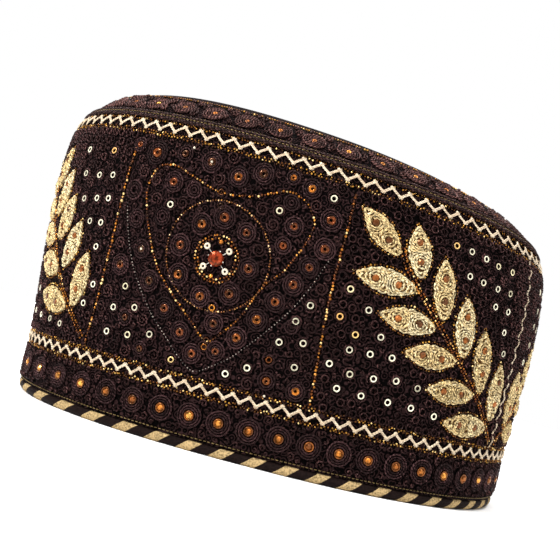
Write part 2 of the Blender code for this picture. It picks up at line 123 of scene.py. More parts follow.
LEAF_HALF_WIDTH = 4.2
LEAF_STONES = (0.32, 0.69)
ROW_RADIUS = 4.5
PAD_LEVELS = [(1.0, 0.05), (1.0, 0.30), (0.90, 0.58), (0.62, 0.74), (0.30, 0.80)]

# The leaves beside the seam, in millimetres from the seam and above the rim
NEAR_LEAVES = [
    # tip across, tip up, base across, base up
    (31.2, 30.1, 8.3, 31.0),
    (41.2, 40.3, 20.5, 41.7),
    (52.7, 50.4, 32.4, 52.0),
    (64.6, 60.6, 43.5, 60.8),
    (75.5, 71.4, 53.6, 71.4),
    (77.0, 92.7, 62.1, 81.0),
    (8.9, 56.3, 6.6, 34.0),
    (22.4, 66.1, 17.4, 43.6),
    (33.5, 75.1, 29.6, 53.9),
    (45.4, 85.1, 41.4, 64.5),
    (57.4, 92.8, 53.1, 75.8),
]
NEAR_STEM = [(2.5, 26.0), (14.0, 37.8), (28.3, 50.0), (41.7, 62.0), (53.0, 72.2), (58.5, 78.0), (61.4, 83.5)]

# The leaves past the heart, measured from their own panel's side
FAR_LEAVES = [
    (38.4, 38.5, 17.0, 35.5),
    (46.5, 50.5, 27.4, 47.0),
    (55.0, 60.5, 37.0, 57.5),
    (64.5, 70.5, 45.0, 66.5),
    (72.5, 81.0, 52.0, 76.5),
    (70.0, 94.0, 57.5, 84.0),
    (9.4, 55.0, 12.9, 36.5),
    (16.4, 64.8, 23.4, 48.3),
    (24.4, 73.0, 31.9, 57.5),
    (30.4, 82.0, 38.9, 66.0),
    (38.9, 90.5, 45.9, 76.5),
]
FAR_STEM = [
    (4.9, 27.5), (11.4, 33.0), (19.9, 40.0), (27.0, 47.0), (34.5, 55.5), (42.0, 64.5), (50.0, 75.0),
    (56.0, 84.0),
]

# The ring sequins of the leaf panels: across and up
LOW_RINGS = [
    (75.8, 65.4), (68.3, 60.4), (77.2, 55.8), (70.8, 51.4), (62.2, 52.9), (71.6, 46.1), (64.4, 46.5),
    (56.7, 47.2), (77.1, 40.1), (69.6, 38.4), (61.3, 38.9), (53.3, 40.1), (44.9, 39.5), (72.8, 32.8),
    (64.1, 32.4), (54.4, 32.4), (45.5, 32.4), (35.7, 31.4),
]
NEAR_RINGS = LOW_RINGS + [
    (42.2, 90.9), (35.7, 91.0), (28.9, 90.6), (22.6, 90.0), (14.4, 90.4), (34.9, 82.4), (28.6, 82.1),
    (21.2, 82.1), (13.9, 82.5), (20.5, 75.6), (13.0, 75.8), (12.5, 67.9), (9.7, 60.3),
]
FAR_RINGS = LOW_RINGS[:14] + [
    (22.4, 89.5), (7.4, 90.0), (20.2, 81.0), (11.6, 81.0), (4.5, 81.7), (17.6, 72.4), (10.1, 73.2),
    (4.1, 73.8), (11.4, 65.3), (5.4, 65.5), (5.4, 57.4), (3.2, 45.2), (6.5, 38.5), (26.4, 30.3), (18.4, 29.7),
    (54.4, 31.4), (45.5, 31.4), (36.0, 30.6),
]

# Each sequin's tone: pale, but for the few that are golden or orange
PALE = 0.6
WARM_RINGS = {
    (75.8, 65.4): 0.19, (77.2, 55.8): 0.06, (70.8, 51.4): 0.13, (42.2, 90.9): 0.10, (7.4, 90.0): 0.08,
}

# Each spray: its side of the seam, the millimetres to its panel, its leaves, its stem and its sequins
SPRAYS = [
    (side, *panel)
    for side in (-1, 1)
    for panel in ((0.0, NEAR_LEAVES, NEAR_STEM, NEAR_RINGS), (FAR_PANEL, FAR_LEAVES, FAR_STEM, FAR_RINGS))
]

# The heart panel, in millimetres from its jewel: towards the seam and up
HEART_LINE = [
    (-3.3, 21.0), (-14.8, 24.0), (-21.8, 26.0), (-28.0, 24.5), (-30.6, 18.0), (-29.2, 10.0), (-24.8, 0.0),
    (-19.8, -8.0), (-12.8, -14.5), (-5.8, -20.0), (2.2, -26.0), (7.2, -22.0), (12.2, -16.0), (15.6, -8.5),
    (18.6, -3.0), (22.8, 1.5), (27.2, 10.0), (29.7, 18.0), (28.0, 22.8), (24.0, 26.2), (18.2, 27.0),
    (8.2, 22.8),
]
EGG_CENTRE = (-0.1, 1.0)
EGG_AXES = (18.3, 17.7)
CIRCLE_RADIUS = 7.6
OUTER_HEART_LINE = [
    (37.2, 10.0), (33.2, 0.0), (29.2, -8.0), (25.2, -13.8), (21.2, -18.8), (16.2, -24.5), (11.2, -29.6),
    (6.2, -33.2), (0.0, -36.5), (-6.8, -32.8), (-11.8, -28.4), (-19.8, -21.5), (-27.8, -12.0), (-31.8, -5.5),
    (-35.4, 3.0), (-37.8, 10.5),
]
HEART_ROSETTES = [
    # x, y, radius, tone of its bead, which also paints its glint (0 where it has none)
    (-0.2, 13.5, 4.1, 0.45), (-7.5, 9.6, 3.9, 0.65), (8.2, 10.6, 3.5, 0.35), (-13.6, 1.4, 3.9, 0.45),
    (11.4, -0.4, 3.8, 0.35), (-12.2, -7.9, 3.9, 0.65), (6.8, -9.7, 4.0, 0.30), (-2.9, -12.9, 3.8, 0.60),
    (3.6, -20.1, 3.6, 0.25), (-21.1, 20.6, 3.8, 0.45), (23.3, 16.7, 3.5, 0.45), (21.1, 9.8, 3.1, 0.50),
    (-30.7, 28.9, 4.3, 0.55), (-38.9, 30.6, 2.8, 0.50), (-19.7, 30.6, 3.2, 0.10), (-9.3, 29.9, 3.9, 0.15),
    (1.1, 27.4, 3.8, 0.62), (9.3, 30.6, 3.9, 0.10), (19.5, 32.1, 2.7, 0.75), (26.4, 30.3, 3.6, 1.00),
    (34.8, 22.1, 4.0, 0.50), (34.8, 12.4, 3.9, 0.50), (31.1, 5.3, 3.5, 0.50), (27.1, -1.5, 3.8, 0.50),
    (22.5, -8.3, 3.7, 0.55), (17.8, -15.4, 3.9, 0.70), (12.3, -22.6, 3.8, 0.60), (6.2, -28.4, 3.5, 0.40),
    (-1.8, -31.1, 3.6, 0.50), (-7.4, -25.4, 3.7, 0.45), (-14.7, -19.4, 3.8, 0.30), (-22.4, -12.2, 3.8, 0.20),
    (-35.4, -9.4, 3.8, 0.50), (-27.9, -2.9, 3.4, 0.10), (25.3, -33.6, 3.3, 0.60), (35.7, -34.5, 3.6, 1.00),
    (-36.1, 15.3, 3.6, 0.0), (-32.5, 6.4, 3.4, 0.0), (-22.5, 8.9, 3.2, 0.0), (-12.9, 19.6, 3.0, 0.0),
    (20.7, 23.9, 3.0, 0.0), (-29.3, -25.4, 3.0, 0.15), (-21.1, -34.0, 2.9, 0.20), (29.6, -14.7, 2.6, 0.0),
]
HEART_GOLD = [
    (-3.4, 21.1), (-2.4, 16.7), (2.0, -15.4), (2.3, -25.8), (2.0, -28.0), (-8.6, -34.7), (24.6, -26.7),
]
# Small pale beads on dark rosettes, where white glints show: painted highlights
HEART_PAINTED_GLINTS = [(-9.3, 29.9), (-27.9, -2.9), (-17.0, 33.0), (25.8, -38.5)]
HEART_RINGS = [
    (34.2, 29.3), (-20.3, 13.2), (17.4, 20.3), (34.2, -6.4), (30.6, -12.6), (34.6, -18.8),
    (26.7, -20.4), (33.5, -27.0), (18.0, -31.0), (11.2, -34.6), (-31.3, -15.8), (-34.8, -23.2),
    (-26.0, -21.6), (-18.3, -28.6), (-26.8, -30.6), (-35.8, -31.3),
]
JEWEL_GOLD = [(0.5, 5.6), (-0.6, -5.7)]
JEWEL_TURNS = (40.0, 140.0, 220.0, 320.0)
PEARL_REACH = 5.1
SPOKE_REACH = (2.4, 4.6)
PRONG_REACH = 2.7

CORDS = {
    # half width, half height, corners of the section, its quarter turns, its knots as in chain stitch, thread
    "ground_coil": (0.42 * MM, 0.55 * MM, 3, 1, 0.14, "dark_thread"),
    "crown_coil": (0.42 * MM, 0.55 * MM, 3, 1, 0.14, "crown_thread_painted_sheen"),
    "ground_ring": (0.31 * MM, 0.58 * MM, 3, 1, 0.24, "dark_thread"),
    "rosette_ring": (0.31 * MM, 0.58 * MM, 4, 1, 0.24, "rosette_thread"),
    "crown_ring": (0.31 * MM, 0.58 * MM, 4, 1, 0.24, "crown_thread_painted_sheen"),
    "leaf_coil": (0.32 * MM, 0.42 * MM, 4, 0, 0.40, "ivory_thread"),
    "leaf_edge": (0.36 * MM, 0.42 * MM, 4, 0, 0.25, "ivory_thread"),
    "braid": (0.27 * MM, 0.29 * MM, 4, 0, 0.0, "white_thread"),
    "seam_braid": (0.20 * MM, 0.25 * MM, 4, 0, 0.0, "white_thread"),
    "welt_ply": (0.50 * MM, 0.50 * MM, 5, 0, 0.0, "welt_thread"),
    "gold_stitch": (0.19 * MM, 0.17 * MM, 3, 1, 0.0, "gold_thread"),
    "spoke": (0.15 * MM, 0.17 * MM, 6, 0, 0.0, "silver"),
}

# The colours of threads and beads, from the darkest tone at 0 to the lightest at 1
WHITE = (1.0, 1.0, 1.0)
WARM = (1.0, 0.62, 0.35)
# The gold, bronze and egg bead ramps run from near black to bright: a bead's random tone is its own colour
# and also a painted glint or painted shade
GOLD_TONES = [
    (0.0, (0.015, 0.004, 0.002)), (0.45, (0.15, 0.036, 0.005)), (0.8, (0.52, 0.19, 0.02)),
    (1.0, (1.00, 0.74, 0.32)),
]
BRONZE_TONES = [
    (0.0, (0.015, 0.005, 0.002)), (0.5, (0.14, 0.045, 0.006)), (0.88, (0.46, 0.23, 0.035)),
    (1.0, (0.90, 0.66, 0.28)),
]
EGG_TONES = [
    (0.0, (0.020, 0.006, 0.003)), (0.5, (0.17, 0.052, 0.010)), (0.85, (0.40, 0.18, 0.05)),
    (1.0, (0.80, 0.55, 0.30)),
]
SEQUIN_TONES = [
    (0.0, (0.55, 0.22, 0.04)), (0.15, (0.66, 0.46, 0.16)), (0.2, (0.64, 0.56, 0.34)),
    (0.3, (0.40, 0.36, 0.25)),
    (0.7, (0.68, 0.63, 0.46)), (1.0, (0.80, 0.75, 0.56)),
]
GLASS_TONES = [(0.0, (0.016, 0.005, 0.004)), (0.5, (0.12, 0.026, 0.007)), (1.0, (0.36, 0.11, 0.012))]
AMBER_TONES = [(0.0, (0.13, 0.030, 0.005)), (0.6, (0.42, 0.135, 0.015)), (1.0, (0.86, 0.42, 0.08))]

THREADS = {
    # tones, ply length, roughness, depth of the plies, gloss, painted shade between the plies, mottle
    #     # (the mottle is fibre flecks and painted glint specks)
    "dark_thread": (
        [(0.0, (0.018, 0.0068, 0.0070)), (1.0, (0.112, 0.047, 0.044))],
        0.0012, 0.27, 0.00032, 0.25, 0.06, 0.75,
    ),
    "rosette_thread": (
        [(0.0, (0.016, 0.0068, 0.0072)), (1.0, (0.083, 0.036, 0.037))],
        0.0012, 0.27, 0.00028, 0.25, 0.10, 0.75,
    ),
    # The crown's thread: the dark thread painted lighter and warmer, a painted sheen of the top light
    "crown_thread_painted_sheen": (
        [(0.0, (0.028, 0.0105, 0.0095)), (1.0, (0.180, 0.078, 0.067))],
        0.0012, 0.34, 0.00030, 0.25, 0.08, 0.70,
    ),
    "welt_thread": (
        [(0.0, (0.014, 0.0052, 0.0046)), (1.0, (0.085, 0.037, 0.032))],
        0.0014, 0.40, 0.00034, 0.20, 0.04, 0.80,
    ),
    "ivory_thread": (
        [(0.0, (0.77, 0.56, 0.25)), (0.4, (0.94, 0.715, 0.36)), (1.0, (1.00, 0.85, 0.52))],
        0.0014, 0.50, 0.00018, 0.15, 0.35, 0.65,
    ),
    "white_thread": (
        [(0.0, (0.66, 0.50, 0.33)), (1.0, (0.88, 0.74, 0.55))], 0.0010, 0.45, 0.00010, 0.14, 0.50, 0.25,
    ),
}
GLOSSY = {
    # tones, metallic, roughness, coat, tint of the shine, clouding
    "gold_thread": ([(0.0, (0.12, 0.075, 0.02)), (1.0, (0.22, 0.15, 0.05))], 0.5, 0.4, 0.0, WHITE, 0.0),
    "gold_beads": (GOLD_TONES, 0.5, 0.20, 0.1, WARM, 0.5),
    "bronze_beads": (BRONZE_TONES, 0.5, 0.25, 0.1, WARM, 0.5),
    "egg_beads": (EGG_TONES, 0.5, 0.25, 0.1, WARM, 0.5),
    "silver_beads": ([(0.0, (0.03, 0.024, 0.022)), (1.0, (0.38, 0.31, 0.26))], 0.6, 0.3, 0.0, WHITE, 0.4),
    "pale_sequin": (SEQUIN_TONES, 0.1, 0.35, 0.1, WHITE, 0.3),
    "brown_glass": (GLASS_TONES, 0.3, 0.14, 0.0, WARM, 0.85),
    "brown_stone": ([(0.0, (0.06, 0.017, 0.005)), (1.0, (0.24, 0.070, 0.013))], 0.3, 0.25, 0.0, WARM, 0.6),
    "amber_stone": (AMBER_TONES, 0.6, 0.14, 0.1, WARM, 0.6),
    "red_stone": ([(0.0, (0.25, 0.030, 0.010)), (1.0, (0.31, 0.042, 0.013))], 0.35, 0.14, 0.0, WARM, 0.8),
    "pearl": ([(0.0, (0.48, 0.41, 0.29)), (1.0, (0.62, 0.53, 0.40))], 0.0, 0.25, 0.2, WHITE, 0.2),
    "silver": ([(0.0, (0.45, 0.41, 0.36)), (1.0, (0.65, 0.61, 0.54))], 0.9, 0.3, 0.0, WHITE, 0.4),
}

# The camera that looks as the photograph does
CAMERA_PLACE = (0.03613, -0.37791, 0.04586)
CAMERA_FORWARD = (-0.10539, 0.99262, 0.06002)
CAMERA_UP = (-0.23655, -0.08365, 0.96801)
CAMERA_LENS = 56.457

dice = np.random.default_rng(11)


# The cap's faces


def plan_table(steps=2880):
    """The oval's points at even turns, and the length along it to each."""
    turn = np.linspace(0.0, 2 * math.pi, steps + 1)
    ways = np.stack([np.sin(turn), -np.cos(turn)], axis=1)
    points = (HALF_LENGTH, HALF_WIDTH) * np.sign(ways) * np.abs(ways) ** (2.0 / PLAN_POWER)
    lengths = np.concatenate([[0.0], np.cumsum(np.linalg.norm(np.diff(points, axis=0), axis=1))])
    return points, lengths


PLAN_POINTS, PLAN_LENGTHS = plan_table()
GIRTH = float(PLAN_LENGTHS[-1])


def level_curve(column):
    """The heights, values and slopes of a column of WALL_LEVELS."""
    rows = np.array(WALL_LEVELS)
    at, values = rows[:, 0], rows[:, column]
    runs = np.diff(values) / np.diff(at)
    before, after = runs[:-1], runs[1:]
    same_way = before * after > 0
    means = np.where(same_way, 2 * before * after / np.where(same_way, before + after, 1.0), 0.0)
    return at, values, np.concatenate([runs[:1], means, runs[-1:]])


LEVEL_CURVES = {column: level_curve(column) for column in (1, 2, 3)}


def eased(share, column):
    """A column of WALL_LEVELS at height shares, on a smooth curve that never swings past its rows."""
    at, values, slopes = LEVEL_CURVES[column]
    i = np.clip(np.searchsorted(at, share) - 1, 0, len(at) - 2)
    span = at[i + 1] - at[i]
    u = (share - at[i]) / span
    return (
        values[i] * (1 + 2 * u) * (1 - u) ** 2
        + values[i + 1] * u * u * (3 - 2 * u)
        + span * (slopes[i] * u * (1 - u) ** 2 - slopes[i + 1] * u * u * (1 - u))
    )


def plan(around):
    """The cloth's x and y at lengths around the oval, sunk so that the thread on it comes out at the oval."""
    place = around % GIRTH
    x = np.interp(place, PLAN_LENGTHS, PLAN_POINTS[:, 0])
    y = np.interp(place, PLAN_LENGTHS, PLAN_POINTS[:, 1])
    return x * (1 - SUNK / HALF_LENGTH), y * (1 - SUNK / HALF_WIDTH)


def tilt(x, y):
    """How much higher the soft top stands at these places than at its middle."""
    return -LEFT_RISE * x / HALF_LENGTH - FRONT_RISE * y / HALF_WIDTH


def wall_face(around, up):
    """Points on the wall's outer face."""
    share = up / WALL_HEIGHT
    x, y = plan(around)
    girth = eased(share, 1)
    x, y = x * girth, y * girth
    return np.stack([x + TOP_LEAN * eased(share, 3), y, up + eased(share, 2) * tilt(x, y)], axis=-1)


def crown_face(around, inward):
    """Points on the crown's outer face, inward being the way in from the seam."""
    girth, tilted, lean = WALL_LEVELS[-1][1:]
    x, y = plan(around)
    left = 1 - inward / (np.hypot(x, y) * girth)
    x, y = x * girth * left, y * girth * left
    dome = 1 - np.abs(left) ** CROWN_POWER
    rise = dome * (CROWN_RISE - CROWN_LEFT_RISE * x / HALF_LENGTH)
    return np.stack([x + TOP_LEAN * lean, y, WALL_HEIGHT + tilted * tilt(x, y) + rise], axis=-1)


def unit(vectors):
    """The same directions, each of length one."""
    return vectors / np.linalg.norm(vectors, axis=-1, keepdims=True)


def directions(face, around, level, step=0.0004):
    """The directions around, up the face and outward at places on it."""
    along = unit(face(around + step, level) - face(around - step, level))
    rise = unit(face(around, level + step) - face(around, level - step))
    out = unit(np.cross(along, rise))
    return along, np.cross(out, along), out


def raised(face, around, level, proud):
    """Points that stand proud of a face."""
    out = directions(face, around, level)[2]
    return face(around, level) + out * np.asarray(proud)[..., None]


# The chart's places


def chart_place(side, across, up):
    """A place that is charted in millimetres from the seam, to one side of it, and above the rim."""
    return SEAM + side * np.asarray(across) * MM, np.asarray(up) * MM


def heart_place(side, jewel_across, x, y):
    """A heart panel's place, in millimetres from its jewel: x towards the seam, y up."""
    return chart_place(side, jewel_across - np.asarray(x), JEWEL_UP + np.asarray(y))


def full_turn(count):
    """Even angles all the way round."""
    return 2 * math.pi * np.arange(count) / count


def round_the_cap(count):
    """Even lengths all the way round the oval."""
    return np.linspace(0.0, GIRTH, count, endpoint=False)


def spaced(line, spacing, closed=False):
    """The same line with its points evenly spaced."""
    passed = np.concatenate([[0.0], np.cumsum(np.linalg.norm(np.diff(line, axis=0), axis=1))])
    at = np.linspace(0.0, passed[-1], max(2, round(passed[-1] / spacing)) + 1)
    if closed:
        at = at[:-1]
    return np.stack([np.interp(at, passed, column) for column in line.T], axis=1)


def smooth_line(points, spacing, closed=False):
    """Evenly spaced points along a smooth curve through a few points."""
    knots = np.array(points, dtype=float)
    if closed:
        knots = np.concatenate([knots[-1:], knots, knots[:2]])
    else:
        knots = np.concatenate([2 * knots[:1] - knots[1:2], knots, 2 * knots[-1:] - knots[-2:-1]])
    u = np.linspace(0.0, 1.0, 16, endpoint=False)[:, None]
    pieces = [
        0.5 * (2 * b + (c - a) * u + (2 * a - 5 * b + 4 * c - d) * u**2 + (3 * b - a - 3 * c + d) * u**3)
        for a, b, c, d in zip(knots, knots[1:], knots[2:], knots[3:])
    ]
    return spaced(np.concatenate(pieces + [knots[-2:-1]]), spacing, closed)


def wider_on_the_left(pitch, stretch, middle, reach):
    """Lengths around, and the count of repeats to each, hand-spaced wider near the middle given."""
    around = np.linspace(0.0, GIRTH, 1200)
    away = (around - middle + 0.5 * GIRTH) % GIRTH - 0.5 * GIRTH
    spacing = pitch * (1 + stretch * np.exp(-((away / reach) ** 2)))
    passed = np.concatenate([[0.0], np.cumsum(np.diff(around) / (0.5 * (spacing[1:] + spacing[:-1])))])
    passed *= round(passed[-1]) / passed[-1]
    return around, passed


def row_places():
    """The lengths around of the lower row's stones."""
    around, passed = wider_on_the_left(ROW_PITCH, 0.35, -0.095, 0.040)
    return np.interp(np.arange(round(passed[-1])) + 0.5, passed, around)


def spots_at(around, level, proud, size):
    """Spots for scatter, each turned at random."""
    count = len(around)
    columns = [around, level, proud, dice.uniform(0, 6.28, count), size]
    return np.stack([np.broadcast_to(column, count) for column in columns], axis=-1).astype(float)


def bead_line(around, level, size, proud=0.35, loose=0.10):
    """Spots for the beads of a line, each a little off its place and of its own size."""
    drift = dice.normal(0.0, loose * size, (len(around), 2))
    sizes = size * dice.uniform(0.85, 1.12, len(around))
    return spots_at(around + drift[:, 0], level + drift[:, 1], proud * MM, sizes)


# Meshes


def make_piece(name, points, corners, sizes, material, uv=None, tone=None, smooth=True):
    """A mesh object from points, the corner list of its faces and each face's corner count."""
    mesh = bpy.data.meshes.new(name)
    mesh.vertices.add(len(points))
    mesh.vertices.foreach_set("co", np.ascontiguousarray(points, dtype=np.float32).ravel())
    mesh.loops.add(len(corners))
    mesh.loops.foreach_set("vertex_index", np.ascontiguousarray(corners, dtype=np.int32))
    mesh.polygons.add(len(sizes))
    starts = np.concatenate([[0], np.cumsum(sizes)[:-1]])
    mesh.polygons.foreach_set("loop_start", np.ascontiguousarray(starts, dtype=np.int32))
    mesh.update(calc_edges=True)
    if uv is not None:
        layer = mesh.uv_layers.new(name="UVMap")
        layer.data.foreach_set("uv", np.ascontiguousarray(uv, dtype=np.float32).ravel())
    if tone is not None:
        attribute = mesh.attributes.new("tone", "FLOAT", "POINT")
        attribute.data.foreach_set("value", np.ascontiguousarray(tone, dtype=np.float32))
    mesh.polygons.foreach_set("use_smooth", np.full(len(sizes), smooth))
    mesh.validate()
    obj = bpy.data.objects.new(name, mesh)
    bpy.context.scene.collection.objects.link(obj)
    mesh.materials.append(MATERIALS[material])
    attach(obj, "root")
    return obj


def joined(name, pieces):
    """Joins mesh pieces into one."""
    bpy.ops.object.select_all(action="DESELECT")
    for piece in pieces:
        piece.select_set(True)
    bpy.context.view_layer.objects.active = pieces[0]
    bpy.ops.object.join()
    made = bpy.context.object
    made.name = made.data.name = name
    return made


def grid(strips, columns):
    """The quads between rings of points numbered ring by ring: each corner's point, ring and column."""
    ring = np.repeat(np.arange(strips), columns)[:, None] + [0, 0, 1, 1]
    column = np.tile(np.arange(columns), strips)[:, None] + [0, 1, 1, 0]
    return ring * columns + column % columns, ring, column


def shell(name, loops, material, u=None, v=None):
    """A closed body from section loops: loops[level][around], the last level joining the first."""
    levels, count = loops.shape[:2]
    quads, level, column = grid(levels, count)
    u = np.arange(count + 1) / count if u is None else u
    v = np.arange(levels + 1) / levels if v is None else v
    corners = (quads % (levels * count)).ravel()
    uv = np.stack([u[column], v[level]], axis=-1)
    return make_piece(name, loops.reshape(-1, 3), corners, np.full(len(quads), 4), material, uv=uv)


def cords(name, paths, kind, face=wall_face, closed=False):
    """Threads of one kind along paths: paths[thread][station] = around, level, height over the face."""
    half_width, half_height, sides, quarter_turns, knots, thread = CORDS[kind]
    around, level, proud = np.moveaxis(np.asarray(paths, dtype=float), -1, 0)
    count, stations = around.shape
    out = directions(face, around, level)[2]
    centre = face(around, level) + out * proud[..., None]
    step = np.linalg.norm(np.diff(centre, axis=1), axis=2)
    if closed:
        run = np.roll(centre, -1, axis=1) - np.roll(centre, 1, axis=1)
        step = np.concatenate([step, step[:, :1]], axis=1)
    else:
        run = np.gradient(centre, axis=1)
    side = unit(np.cross(out, unit(run)))
    angles = (full_turn(sides) + quarter_turns * math.pi / 2)[:, None]
    swell = (1 + knots * (-1.0) ** np.arange(stations))[:, None, None]
    points = (
        centre[:, :, None]
        + side[:, :, None] * np.cos(angles) * half_width * swell
        + out[:, :, None] * np.sin(angles) * half_height * swell
    )
    passed = np.concatenate([np.zeros((count, 1)), np.cumsum(step, axis=1)], axis=1)
    quads, station, corner = (part[:, [0, 3, 2, 1]] for part in grid(step.shape[1], sides))
    first = (np.arange(count) * stations * sides)[:, None]
    corners = (first[..., None] + quads % (stations * sides)).ravel()
    sizes = np.full(count * len(quads), 4)
    uv = np.stack([passed[:, station], np.broadcast_to(corner / sides, (count, *corner.shape))], axis=-1)
    uv = uv.reshape(-1, 2)
    if not closed:
        start = first + np.arange(sides)
        caps = np.concatenate([start, start[:, ::-1] + (stations - 1) * sides])
        corners = np.concatenate([corners, caps.ravel()])
        sizes = np.concatenate([sizes, np.full(len(caps), sides)])
        uv = np.concatenate([uv, np.zeros((caps.size, 2))])
    tone = np.repeat(dice.random(count), stations * sides)
    return make_piece(name, points.reshape(-1, 3), corners, sizes, thread, uv=uv, tone=tone)


def scatter(name, model, spots, material, face=wall_face, tone=None):
    """Copies of a small model as one piece: spots = around, level, height over the face, turn, size."""
    around, level, proud, turn, size = np.asarray(spots, dtype=float).T
    along, rise, out = directions(face, around, level)
    cos, sin = np.cos(turn)[:, None], np.sin(turn)[:, None]
    centre = face(around, level) + out * proud[:, None]
    ways = (along * cos + rise * sin, rise * cos - along * sin, out)
    local, model_corners, model_sizes, smooth = MODELS[model]
    offset = sum(way[:, None] * local[:, [k]] for k, way in enumerate(ways))
    points = (centre[:, None] + size[:, None, None] * offset).reshape(-1, 3)
    count = len(around)
    corners = (np.arange(count)[:, None] * len(local) + model_corners).ravel()
    tone = np.repeat(dice.random(count) if tone is None else tone, len(local))
    return make_piece(name, points, corners, np.tile(model_sizes, count), material, tone=tone, smooth=smooth)


def start_model():
    """Deselects everything, so that the next primitive is shaped alone."""
    if bpy.context.object and bpy.context.object.mode != "OBJECT":
        bpy.ops.object.mode_set(mode="OBJECT")
    bpy.ops.object.select_all(action="DESELECT")


def taken_model(obj, smooth=True):
    """The points, corners, face sizes and smoothness of a model object, which is then removed."""
    mesh = obj.data
    points = np.array([vert.co for vert in mesh.vertices])
    corners = np.array([loop.vertex_index for loop in mesh.loops])
    sizes = np.array([face.loop_total for face in mesh.polygons])
    bpy.data.objects.remove(obj)
    return points, corners, sizes, smooth


def squeeze(scale):
    """Scales the model in hand along X, Y and Z."""
    bpy.ops.object.mode_set(mode="EDIT")
    bpy.ops.mesh.select_all(action="SELECT")
    bpy.ops.transform.resize(value=scale)
    bpy.ops.object.mode_set(mode="OBJECT")


def bead_model(sides):
    """A seed bead: a round bead pressed a little flat."""
    start_model()
    bpy.ops.mesh.primitive_uv_sphere_add(segments=sides, ring_count=3, radius=1.0)
    squeeze((1.05, 1.05, 0.85))
    return taken_model(bpy.context.object)


def ring_model(hole):
    """A cup sequin: a flat ring with a rounded edge and an open middle."""
    start_model()
    bpy.ops.mesh.primitive_torus_add(
        major_segments=14, minor_segments=6, major_radius=0.5 * (1 + hole), minor_radius=0.5 * (1 - hole)
    )
    squeeze((1.0, 1.0, 0.75))
    return taken_model(bpy.context.object)


def stone_model(sides, facet_rows):
    """A cut stone that stands on its foot: a girdle, rows of facets and a flat table."""
    start_model()
    bpy.ops.mesh.primitive_cylinder_add(vertices=sides, radius=1.0, depth=0.7)
    stone = bpy.context.object
    bpy.ops.object.mode_set(mode="EDIT")
    bpy.ops.mesh.select_all(action="DESELECT")
    bpy.ops.object.mode_set(mode="OBJECT")
    for edge in stone.data.edges:
        edge.select = all(stone.data.vertices[i].co.z > 0.1 for i in edge.vertices)
    bpy.ops.object.mode_set(mode="EDIT")
    bpy.ops.mesh.select_mode(type="EDGE")
    bpy.ops.mesh.bevel(offset=0.42, offset_type="OFFSET", segments=facet_rows, affect="EDGES")
    bpy.ops.object.mode_set(mode="OBJECT")
    model = taken_model(stone, smooth=False)
    model[0][:, 2] -= model[0][:, 2].min()
    return model


# Materials


def feed(tree, node, inputs):
    """Sets a node's inputs, each to a value or to another node's output."""
    for socket, value in inputs.items():
        if isinstance(value, bpy.types.NodeSocket):
            tree.links.new(value, node.inputs[socket])
        else:
            node.inputs[socket].default_value = value


def add_node(tree, kind, inputs, output=0, **settings):
    """A shader node with its settings and inputs, of which one output is given back."""
    node = tree.nodes.new("ShaderNode" + kind)
    for setting, value in settings.items():
        setattr(node, setting, value)
    feed(tree, node, inputs)
    return node.outputs[output]


def maths(tree, operation, *values):
    """The outcome of a sum on numbers."""
    return add_node(tree, "Math", dict(enumerate(values)), operation=operation)


def mapped(tree, value, from_low, from_high, to_low, to_high):
    """A number carried from one span to another."""
    spans = {"From Min": from_low, "From Max": from_high, "To Min": to_low, "To Max": to_high}
    return add_node(tree, "MapRange", {"Value": value, **spans}, "Result")


def multiplied(tree, colour, strength):
    """A colour made darker or lighter by a number."""
    sides = {"Factor": 1.0, "A": colour, "B": strength}
    return add_node(tree, "Mix", sides, "Result", data_type="RGBA", blend_type="MULTIPLY")


def ramped(tree, share, colours, way="LINEAR"):
    """The colour at a share: colours = share, colour."""
    made = add_node(tree, "ValToRGB", {"Fac": share})
    ramp = made.node.color_ramp
    ramp.interpolation = way
    while len(ramp.elements) < len(colours):
        ramp.elements.new(0.5)
    for stop, (place, colour) in zip(ramp.elements, colours):
        stop.position = place
        stop.color = (*colour, 1.0)
    return made


def toned(tree, colours):
    """The colour of each copy in a piece, by its tone."""
    return ramped(tree, add_node(tree, "Attribute", {}, "Fac", attribute_name="tone"), colours)


def bumped(tree, height, strength, depth):
    """The surface's direction, turned by a height."""
    return add_node(tree, "Bump", {"Strength": strength, "Distance": depth, "Height": height})


def own_uv(tree):
    """The two coordinates of a piece's own UV map."""
    parts = add_node(tree, "SeparateXYZ", {"Vector": add_node(tree, "UVMap", {})}).node
    return parts.outputs["X"], parts.outputs["Y"]


def new_group(name, inputs, outputs):
    """A node group with named number sockets: its tree, what comes in and the node that puts out."""
    group = bpy.data.node_groups.new(name, "ShaderNodeTree")
    for way, sockets in (("INPUT", inputs), ("OUTPUT", outputs)):
        for socket in sockets:
            group.interface.new_socket(socket, in_out=way, socket_type="NodeSocketFloat")
    return group, group.nodes.new("NodeGroupInput").outputs, group.nodes.new("NodeGroupOutput")


def twisted_thread():
    """The height of three plies that wind round the thread's own UV."""
    group, given, put = new_group("twisted_thread", ["Ply Length"], ["Height"])
    along, across = own_uv(group)
    turns = maths(group, "MULTIPLY_ADD", across, 3.0, maths(group, "DIVIDE", along, given["Ply Length"]))
    wave = maths(group, "SINE", maths(group, "MULTIPLY", turns, 2 * math.pi))
    feed(group, put, {"Height": maths(group, "MULTIPLY_ADD", wave, 0.5, 0.5)})
    return group


def mottling():
    """Fine flecks as a number to multiply a colour by, from the darkest to the lightest."""
    group, given, put = new_group("mottling", ["Scale", "Low", "High", "Darkest", "Lightest"], ["Shade"])
    place = add_node(group, "TexCoord", {}, "Object")
    noise = add_node(group, "TexNoise", {"Vector": place, "Scale": given["Scale"]})
    spans = [given[socket] for socket in ("Low", "High", "Darkest", "Lightest")]
    feed(group, put, {"Shade": mapped(group, noise, *spans)})
    return group


